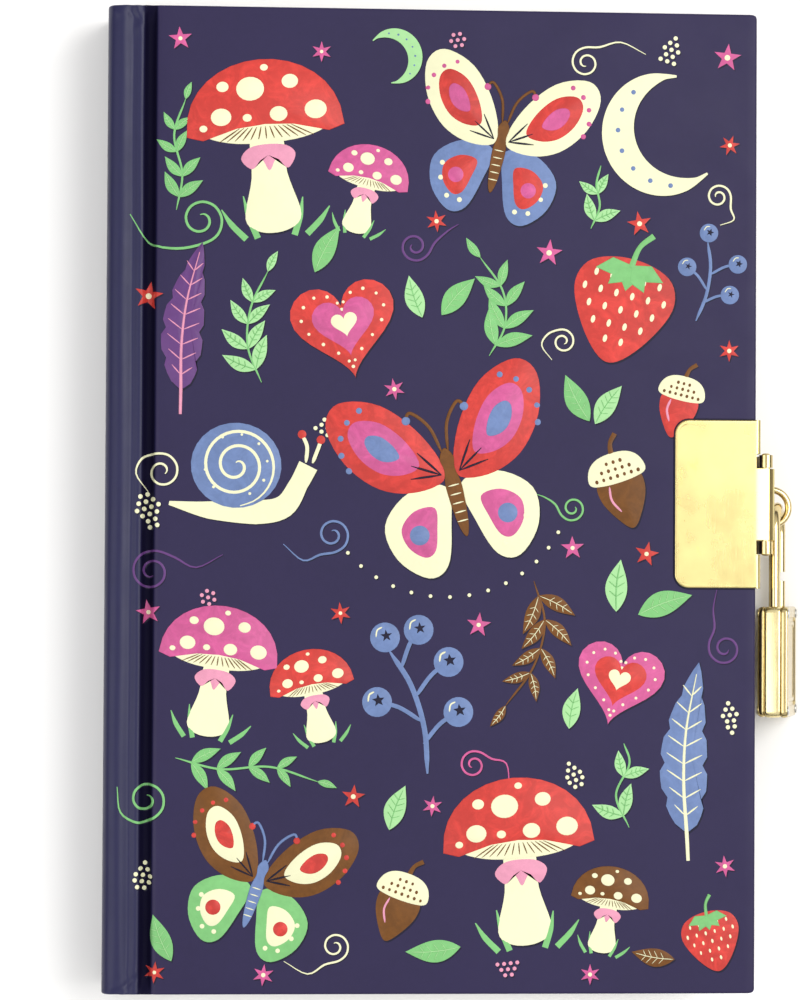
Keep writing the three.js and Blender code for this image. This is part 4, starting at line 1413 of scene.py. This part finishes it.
def strawberry(x, y, size, turn=0.0):
    ART.push(x, y, turn, size)
    ART.blob([(-0.36, 0.24), (-0.42, 0.02), (-0.28, -0.28), (-0.08, -0.50), (0.08, -0.50), (0.28, -0.28), (0.42, 0.02), (0.36, 0.24), (0.14, 0.34), (-0.14, 0.34)], "coral", 0, (0, 0))
    for row, y0 in enumerate((0.18, 0.05, -0.08, -0.21, -0.34)):
        count = (5, 6, 5, 4, 2)[row]
        for k in range(count):
            ART.disc((k - (count - 1) / 2) * 0.135, y0, 0.018, 0.032, "cream", 1, n=12)
    for a, r in ((197, 0.30), (345, 0.30), (232, 0.25), (308, 0.25), (270, 0.22)):
        c, s = math.cos(math.radians(a)), math.sin(math.radians(a))
        ART.fill([(0, 0.30), (r * 0.5 * c - 0.075 * s, 0.30 + r * 0.5 * s + 0.075 * c), (r * c, 0.30 + r * s), (r * 0.5 * c + 0.075 * s, 0.30 + r * 0.5 * s - 0.075 * c)], "mint", 2, (r * 0.45 * c, 0.30 + r * 0.45 * s))
    ART.stroke([(0, 0.28), (0.03, 0.46), (0.12, 0.58)], [0.05, 0.04, 0.05], "mint", 3)
    ART.pop()


def snail(x, y, size, turn=0.0, mirror=False, shell="blue", line="cream"):
    ART.push(x, y, turn, size, mirror)
    ART.stroke([(-0.50, -0.30), (-0.2, -0.33), (0.15, -0.32), (0.36, -0.26), (0.46, -0.08), (0.52, 0.06)], [0.03, 0.13, 0.18, 0.17, 0.14, 0.15], "cream", 0)
    ART.stroke([(0.50, 0.08), (0.50, 0.20), (0.46, 0.28)], 0.028, "cream", 0)
    ART.stroke([(0.55, 0.08), (0.58, 0.18), (0.60, 0.25)], 0.028, "cream", 0)
    dots([(0.455, 0.29), (0.60, 0.26)], 0.033, "coral", 1)
    ART.disc(-0.02, 0.02, 0.34, 0.32, shell, 1)
    pts = []
    for i in range(46):
        t = i / 45
        a = math.radians(-80 + 900 * t)
        r = 0.285 * (1 - t) ** 0.9 + 0.02
        pts.append((-0.02 + r * math.cos(a), 0.02 + r * math.sin(a)))
    ART.stroke(pts, 0.034, line, 2, False, 2)
    for k in range(9):
        a = math.radians(-60 + 36 * k)
        ART.disc(-0.02 + 0.235 * math.cos(a), 0.02 + 0.235 * math.sin(a), 0.014, 0.014, line, 2, n=8)
    ART.pop()


def feather(x, y, size, turn, colour="blue", quill="cream", mark="cream"):
    ART.push(x, y, turn, size)
    for s in (1, -1):
        edge = [(0.0, 0.0)]
        for i in range(1, 20):
            t = i / 20
            notch = 0.80 if i % 4 == 0 else 1.0
            edge.append((t, s * 0.14 * math.sin(math.pi * t ** 0.7) ** 0.8 * notch + 0.05 * math.sin(math.pi * t)))
        edge.append((1.0, 0.0))
        spine = [(1 - i / 10, 0.05 * math.sin(math.pi * (1 - i / 10))) for i in range(1, 10)]
        ART.fill(edge + spine, colour, 0, (0.45, 0.05 + s * 0.045))
        for i in range(2, 17, 2):
            t = i / 20
            r = 0.105 * math.sin(math.pi * t ** 0.7) ** 0.8
            base = 0.05 * math.sin(math.pi * t)
            ART.stroke([(t, base), (t + 0.06, base + s * r)], 0.011, mark, 1, False, 3)
    ART.stroke([(-0.16, -0.02), (0.0, 0.0), (0.3, 0.04), (0.6, 0.047), (0.93, 0.01)], [0.02, 0.022, 0.018, 0.014, 0.006], quill, 2)
    ART.pop()


def berries(x, y, size, turn, colour="blue", stalk="blue", count=5, mirror=False):
    """Plain round berries with a small crown, on a forked stalk."""
    ART.push(x, y, turn, size, mirror)
    ART.stroke([(0, -0.5), (0.02, -0.2), (-0.03, 0.1), (-0.14, 0.34)], 0.035, stalk, 0)
    for (bx, by), (fx, fy) in (((0.0, -0.3), (0.26, -0.12)), ((0.01, -0.15), (-0.27, 0.02)), ((-0.01, 0.02), (0.24, 0.22)), ((-0.14, 0.34), (-0.16, 0.44)), ((-0.08, 0.22), (0.07, 0.46)))[:count]:
        ART.stroke([(bx, by), ((bx + fx) / 2, (by + fy) / 2 + 0.03), (fx, fy)], 0.028, stalk, 0)
        ART.disc(fx, fy, 0.10, 0.10, colour, 1, n=24)
        ART.star(fx + 0.01, fy + 0.01, 0.045, "deep", 2, 5, 0.45, 90, 0, False)
        ART.stroke([(fx - 0.06, fy + 0.01), (fx - 0.045, fy + 0.055), (fx - 0.01, fy + 0.07)], 0.014, "cream", 2, False, 4)
    ART.pop()


def twinkle(x, y, r, colour="rose", centre="cream", points=5, turn=90.0):
    ART.star(x, y, r, colour, 0, points, 0.40, turn)
    ART.disc(x, y, r * 0.20, r * 0.20, centre, 1, n=14)


# ---- the layout, centre of the cover at 0, 0; the groove runs at x -52.2 to -50.2 ----
toadstool(-30.5, 66.5, 26, 6, "coral")
toadstool(-12.0, 57.5, 13.5, -14, "rose", "cream", "cream")
butterfly(12.0, 64.5, 27, -12, "cream", "coral", "blue", "rose")
moon(43.5, 67.5, 20, 24)
heart(-16.0, 31.5, 19, 12)
strawberry(34.5, 36.5, 22, -14)
snail(-35.0, 5.5, 24, -4)
butterfly(3.5, 4.0, 33, 15, "coral", "rose", "cream", "blue")
acorn(34.0, 3.5, 15.5, 18)
acorn(45.0, 18.5, 12.5, -14, "coral", "cream")
toadstool(-38.5, -29.0, 19.5, -8, "rose", "cream", "cream")
toadstool(-21.5, -34.0, 14, 12, "coral")
berries(-2.5, -36.0, 27, 8)
heart(34.0, -32.5, 16, -14, "rose", "coral")
feather(46.5, -60.0, 31, 86)
butterfly(-31.0, -69.0, 25.5, -18, "brown", "cream", "mint", "coral", "blue")
toadstool(16.0, -62.5, 25, 5, "coral")
toadstool(32.5, -72.5, 13, -10, "brown", "cream", "cream")
acorn(-5.5, -72.0, 14, -20)
strawberry(51.0, -78.5, 12.5, 14)
berries(50.5, 41.0, 17, -18, "blue", "blue", 4)
feather(-45.5, 19.5, 27, 82, "violet", "pink", "pink")
moon(-8.0, 80.0, 9.0, 210, "leaf")

sprig([(10.2, 26.2), (13.0, 31.6), (12.6, 38.0), (8.5, 44.0)], 4, 7.4, 2.6, "mint", "mint", "leaf")
sprig([(28.6, 49.5), (30.2, 53.5), (29.6, 57.5), (30.4, 61.0)], 2, 5.4, 2.2, "leaf", "mint", "mint", tip=False)
sprig([(18.5, -14.5), (20.5, -22.0), (18.5, -30.0), (13.5, -37.0)], 4, 8.0, 2.8, "brown", "brown", "cream")
sprig([(-46.0, -46.6), (-38.0, -48.6), (-29.0, -48.2), (-20.5, -50.8)], 4, 6.2, 2.2, "mint", "mint", "leaf")
sprig([(-31.0, 21.0), (-33.5, 27.5), (-33.0, 34.5), (-30.0, 41.0)], 4, 7.0, 2.6, "leaf", "mint", "mint")
sprig([(36.0, -59.0), (33.6, -53.2), (36.0, -47.6), (35.0, -43.8)], 2, 6.4, 2.6, "leaf", "mint", "mint", tip=False)
sprig([(-46.5, 52.0), (-45.5, 58.5), (-47.0, 65.5), (-45.0, 72.0)], 4, 5.6, 2.1, "mint", "mint", "leaf")
leaf(28.5, 14.5, 9.5, 4.0, 118, "mint", "leaf", 0, 4)
leaf(29.5, 14.0, 8.5, 3.6, 55, "leaf", "mint", 0, 4)
leaf(-7.5, -59.5, 8.5, 3.8, 70, "leaf", "mint", 0, 4)
leaf(37.5, -20.5, 10.5, 4.4, 20, "mint", "leaf", 0, 4)
leaf(33.5, -20.0, 9.5, 4.0, 85, "leaf", "mint", 0, 3)
leaf(-21.5, 41.0, 9.5, 3.8, 62, "mint", "leaf", 0, 4)
leaf(-46.5, -83.0, 9.0, 3.6, 112, "mint", "leaf", 0, 4)
leaf(5.5, -80.5, 10.0, 4.0, 185, "mint", "leaf", 0, 4)
leaf(44.4, -82.8, 8.0, 3.3, 170, "brown", "cream", 0, 4)
leaf(1.5, 33.5, 9.0, 3.8, 48, "mint", "leaf", 0, 4)
leaf(-2.0, 33.0, 8.0, 3.4, 108, "leaf", "mint", 0, 4)
leaf(25.0, -41.2, 7.5, 3.2, 78, "leaf", "mint", 0, 3)

# tendrils
curl(-41.5, 46.0, 4.3, 1.5, 8, "mint", 0.46, [(-12.5, 7.0), (-9.8, 1.5), (-5.0, -0.3)])
curl(-50.0, 8.0, 3.4, 1.4, 200, "cream", 0.40, [(-3.5, 6.0), (-4.5, 2.2), (-2.6, 0.0)], True)
curl(-49.5, -9.5, 3.8, 1.6, 165, "violet", 0.42, [(-11.5, -2.5), (-7.5, 1.0), (-3.4, 0.3)])
curl(-50.0, -57.5, 3.6, 1.4, 20, "mint", 0.44, [(-4.0, 7.5), (-5.0, 3.0), (-2.8, 0.2)])
curl(54.2, 55.8, 2.3, 1.5, 95, "cream", 0.38, [(-5.2, 2.4), (-4.4, -0.2), (-2.4, 0.2)])
curl(22.6, 31.0, 2.3, 1.5, 205, "cream", 0.36, [(-3.2, 4.5), (-3.8, 1.4), (-2.1, 0.0)], True)
curl(-17.5, -9.5, 3.2, 1.5, 10, "blue", 0.42, [(-9.0, 3.0), (-6.0, -0.5), (-2.8, 0.0)])
curl(9.0, -45.5, 2.6, 1.5, 150, "rose", 0.38, [(-7.5, 2.5), (-5.0, -0.6), (-2.3, 0.0)])
curl(50.5, -25.5, 3.1, 1.5, 250, "violet", 0.42, [(-9.5, -2.0), (-6.0, -1.4), (-2.8, 0.0)])
curl(-16.5, -83.0, 2.7, 1.5, 15, "cream", 0.36, [(-9.5, 2.5), (-6.0, -0.8), (-2.6, 0.0)])
curl(-1.0, 44.5, 2.8, 1.5, 60, "violet", 0.42, [(-7.5, -2.0), (-5.6, -1.0), (-2.5, 0.0)], True)
curl(27.5, 82.5, 2.8, 1.5, 182, "cream", 0.36, [(-11.0, 1.5), (-6.5, -0.8), (-2.6, 0.0)])
curl(23.4, -2.5, 2.4, 1.5, 300, "mint", 0.38, [(-5.4, -2.0), (-4.2, -1.0), (-2.2, 0.0)])

# stars and dots
for x, y, r, colour, turn in (
    (-51.4, 36.5, 2.7, "coral", 80),
    (-51.0, -20.5, 2.3, "rose", 100),
    (-46.0, 83.0, 2.2, "rose", 95),
    (-49.5, -85.0, 2.0, "coral", 85),
    (53.5, 81.0, 2.6, "rose", 84),
    (37.5, 50.5, 2.3, "coral", 100),
    (54.0, 65.0, 1.9, "coral", 70),
    (0.5, 50.5, 2.0, "coral", 96),
    (21.0, 45.0, 2.5, "rose", 84),
    (-7.0, 20.0, 2.0, "rose", 100),
    (25.5, -8.5, 2.2, "rose", 92),
    (39.0, -9.5, 2.3, "coral", 78),
    (-16.5, -20.5, 2.0, "coral", 95),
    (8.5, -22.5, 2.3, "rose", 84),
    (53.5, -66.0, 2.0, "rose", 96),
    (-14.0, -53.5, 2.2, "coral", 84),
    (0.3, -55.2, 1.9, "rose", 84),
    (29.0, -85.5, 1.9, "rose", 90),
    (-30.0, -85.5, 2.0, "rose", 84),
    (54.0, 27.5, 2.0, "coral", 90),
    (-20.5, 81.0, 1.9, "rose", 90),
):
    twinkle(x, y, r, colour, "cream", 5 if r > 2.1 else 6, turn)


def dot_cluster(x, y, rows, gap, r, turn, colour="cream"):
    c, s = math.cos(math.radians(turn)), math.sin(math.radians(turn))
    for i, count in enumerate(rows):
        for k in range(count):
            u, v = (k - (count - 1) / 2) * gap, -i * gap * 0.86
            ART.disc(x + u * c - v * s, y + u * s + v * c, r, r, colour, 0, n=12)


dot_cluster(-52.0, 0.5, (2, 3, 4, 3, 2, 2), 1.35, 0.42, 18)
dot_cluster(44.0, 84.4, (1, 2, 3, 2, 3), 1.3, 0.40, -20)
dot_cluster(54.0, -36.5, (1, 2, 3, 2, 2, 1), 1.25, 0.40, 8)
dot_cluster(-18.5, 15.0, (1, 2, 2, 3), 1.25, 0.38, -30)
dot_cluster(25.0, -47.5, (1, 2, 3, 3, 2), 1.25, 0.38, 24)
dot_cluster(-51.3, -65.5, (1, 2, 3, 3, 2), 1.3, 0.40, -10)
dot_cluster(4.0, 84.5, (2, 3, 2), 1.2, 0.36, 10, "pink")
dot_cluster(-41.0, -17.0, (2, 3, 2), 1.2, 0.36, 40, "pink")
dot_cluster(14.0, -83.5, (4, 3, 2), 1.2, 0.36, 6, "pink")
# painted contact shadow: a fine dark line laid on the cover round the sheet-metal plate
PLATE_CONTACT_SHADOW = [(58.7, CLASP_Y + 15.36), (53.0, CLASP_Y + 15.36), (47.2, CLASP_Y + 15.36)]
PLATE_CONTACT_SHADOW += [(46.7 + 2.66 * math.cos(math.radians(a)), CLASP_Y + 12.7 + 2.66 * math.sin(math.radians(a))) for a in range(98, 180, 14)]
PLATE_CONTACT_SHADOW += [(44.04, CLASP_Y + 12.0), (44.04, CLASP_Y + 6.0), (44.04, CLASP_Y), (44.04, CLASP_Y - 6.0), (44.04, CLASP_Y - 12.0)]
PLATE_CONTACT_SHADOW += [(46.7 + 2.66 * math.cos(math.radians(a)), CLASP_Y - 12.7 + 2.66 * math.sin(math.radians(a))) for a in range(188, 270, 14)]
PLATE_CONTACT_SHADOW += [(47.2, CLASP_Y - 15.36), (53.0, CLASP_Y - 15.36), (58.7, CLASP_Y - 15.36)]
ART.stroke(PLATE_CONTACT_SHADOW, 0.30, "deep", 3, False, 3, (1.0, 1.0))
for i in range(14):
    a = math.radians(218 + 9 * i)
    ART.disc(2.5 + 22.5 * math.cos(a), 3.0 + 20.5 * math.sin(a), 0.34, 0.34, "cream", 0, n=10)


def print_mesh():
    """All shapes laid on the cover; where they cross the groove they are cut along it and follow it down."""
    groups = {True: [], False: []}
    for colour, pts in ART.tris:
        groups[min(p[0] for p in pts) < -48.9].append((colour, pts))
    meshes = []
    for crossing, tris in groups.items():
        verts, faces, colours = [], [], []
        for colour, pts in tris:
            base = len(verts)
            verts += pts
            faces.append(tuple(range(base, base + len(pts))))
            colours.append(INKS.index(colour))
        mesh = bpy.data.meshes.new("print_part")
        mesh.from_pydata(verts, [], faces)
        mesh.polygons.foreach_set("material_index", colours)
        bm = bmesh.new()
        bm.from_mesh(mesh)
        bmesh.ops.remove_doubles(bm, verts=bm.verts, dist=2e-4)
        if crossing:
            for x, _ in OUTER[4:]:
                geom = bm.verts[:] + bm.edges[:] + bm.faces[:]
                bmesh.ops.bisect_plane(bm, geom=geom, plane_co=(x, 0, 0), plane_no=(1, 0, 0), dist=1e-5)
            for v in bm.verts:
                x = max(-58.3, v.co.x)
                z = profile_z(x)
                dx, dz = relief(x, z, v.co.y)
                v.co.z = z + dz + v.co.z
                v.co.x += dx
        else:
            for v in bm.verts:
                v.co.z += 18.4
        bm.normal_update()
        bm.to_mesh(mesh)
        bm.free()
        meshes.append(mesh)
    bm = bmesh.new()
    for mesh in meshes:
        bm.from_mesh(mesh)
        bpy.data.meshes.remove(mesh)
    for f in bm.faces:
        f.smooth = True
        if f.normal.z < -0.2:
            f.normal_flip()
    out = bpy.data.meshes.new("cover_print")
    bm.to_mesh(out)
    bm.free()
    for name in INKS:
        out.materials.append(ink[name])
    out.set_sharp_from_angle(angle=math.radians(35))
    obj = bpy.data.objects.new("cover_print", out)
    scene.collection.objects.link(obj)
    return obj


placed(print_mesh(), bend=("text_block", "front_cover", *FRONT_BEND))


# ---------- floor, light, camera ----------
floor_mesh = bpy.data.meshes.new("floor")
bm = bmesh.new()
bmesh.ops.create_grid(bm, x_segments=24, y_segments=24, size=1.6)
bm.to_mesh(floor_mesh)
bm.free()
floor = bpy.data.objects.new("floor", floor_mesh)
floor.location = (0, 0, -0.00005)
scene.collection.objects.link(floor)
m, t, b = shader("studio_floor", (0.90, 0.89, 0.875), 0.65, specular=0.2)
t.links.new(ramp(t, noise(t, coords(t), 6.0, 2.0), [(0.3, (0.885, 0.877, 0.862)), (0.7, (0.90, 0.892, 0.877))]), b.inputs["Base Color"])
floor_mesh.materials.append(m)


def area(name, place, target, size, power, colour=(1, 1, 1)):
    light = bpy.data.lights.new(name, "AREA")
    light.shape = "RECTANGLE"
    light.size, light.size_y = size
    light.energy = power
    light.color = colour
    obj = bpy.data.objects.new(name, light)
    obj.location = place
    obj.rotation_euler = (Vector(target) - Vector(place)).to_track_quat("-Z", "Y").to_euler()
    scene.collection.objects.link(obj)
    return obj


area("key_softbox", (0.62, 0.22, 0.98), (0.0, 0.0, 0.0), (0.8, 0.8), 10.0)
area("fill_softbox", (-0.75, -0.25, 0.80), (0.0, 0.0, 0.0), (0.7, 1.1), 5.1)

world = bpy.data.worlds.new("studio")
scene.world = world
world.use_nodes = True
wt = world.node_tree
background = wt.nodes["Background"]
background.inputs["Strength"].default_value = 0.86
# a white ceiling over darker walls, so that bent metal shows a dark line where it turns
split = wt.nodes.new("ShaderNodeSeparateXYZ")
wt.links.new(wt.nodes.new("ShaderNodeTexCoord").outputs["Generated"], split.inputs["Vector"])
wt.links.new(ramp(wt, split.outputs["Z"], [(0.0, (0.10, 0.095, 0.09)), (0.20, (0.16, 0.155, 0.15)), (0.48, (0.85, 0.85, 0.85)), (0.66, (1.0, 1.0, 1.0))]), background.inputs["Color"])

camera = bpy.data.cameras.new("camera")
camera.sensor_width = 36
camera.sensor_fit = "VERTICAL"
camera.sensor_height = 36
camera.lens = 3538 * 36 / 1000
camera.clip_start = 0.01
cam = bpy.data.objects.new("camera", camera)
cam.location = (-0.0482, -0.0162, 0.6556)
cam.rotation_euler = (math.radians(1.43), math.radians(-3.81), math.radians(0.31))
scene.collection.objects.link(cam)
scene.camera = cam
scene.view_settings.view_transform = "Standard"
scene.view_settings.look = "None"
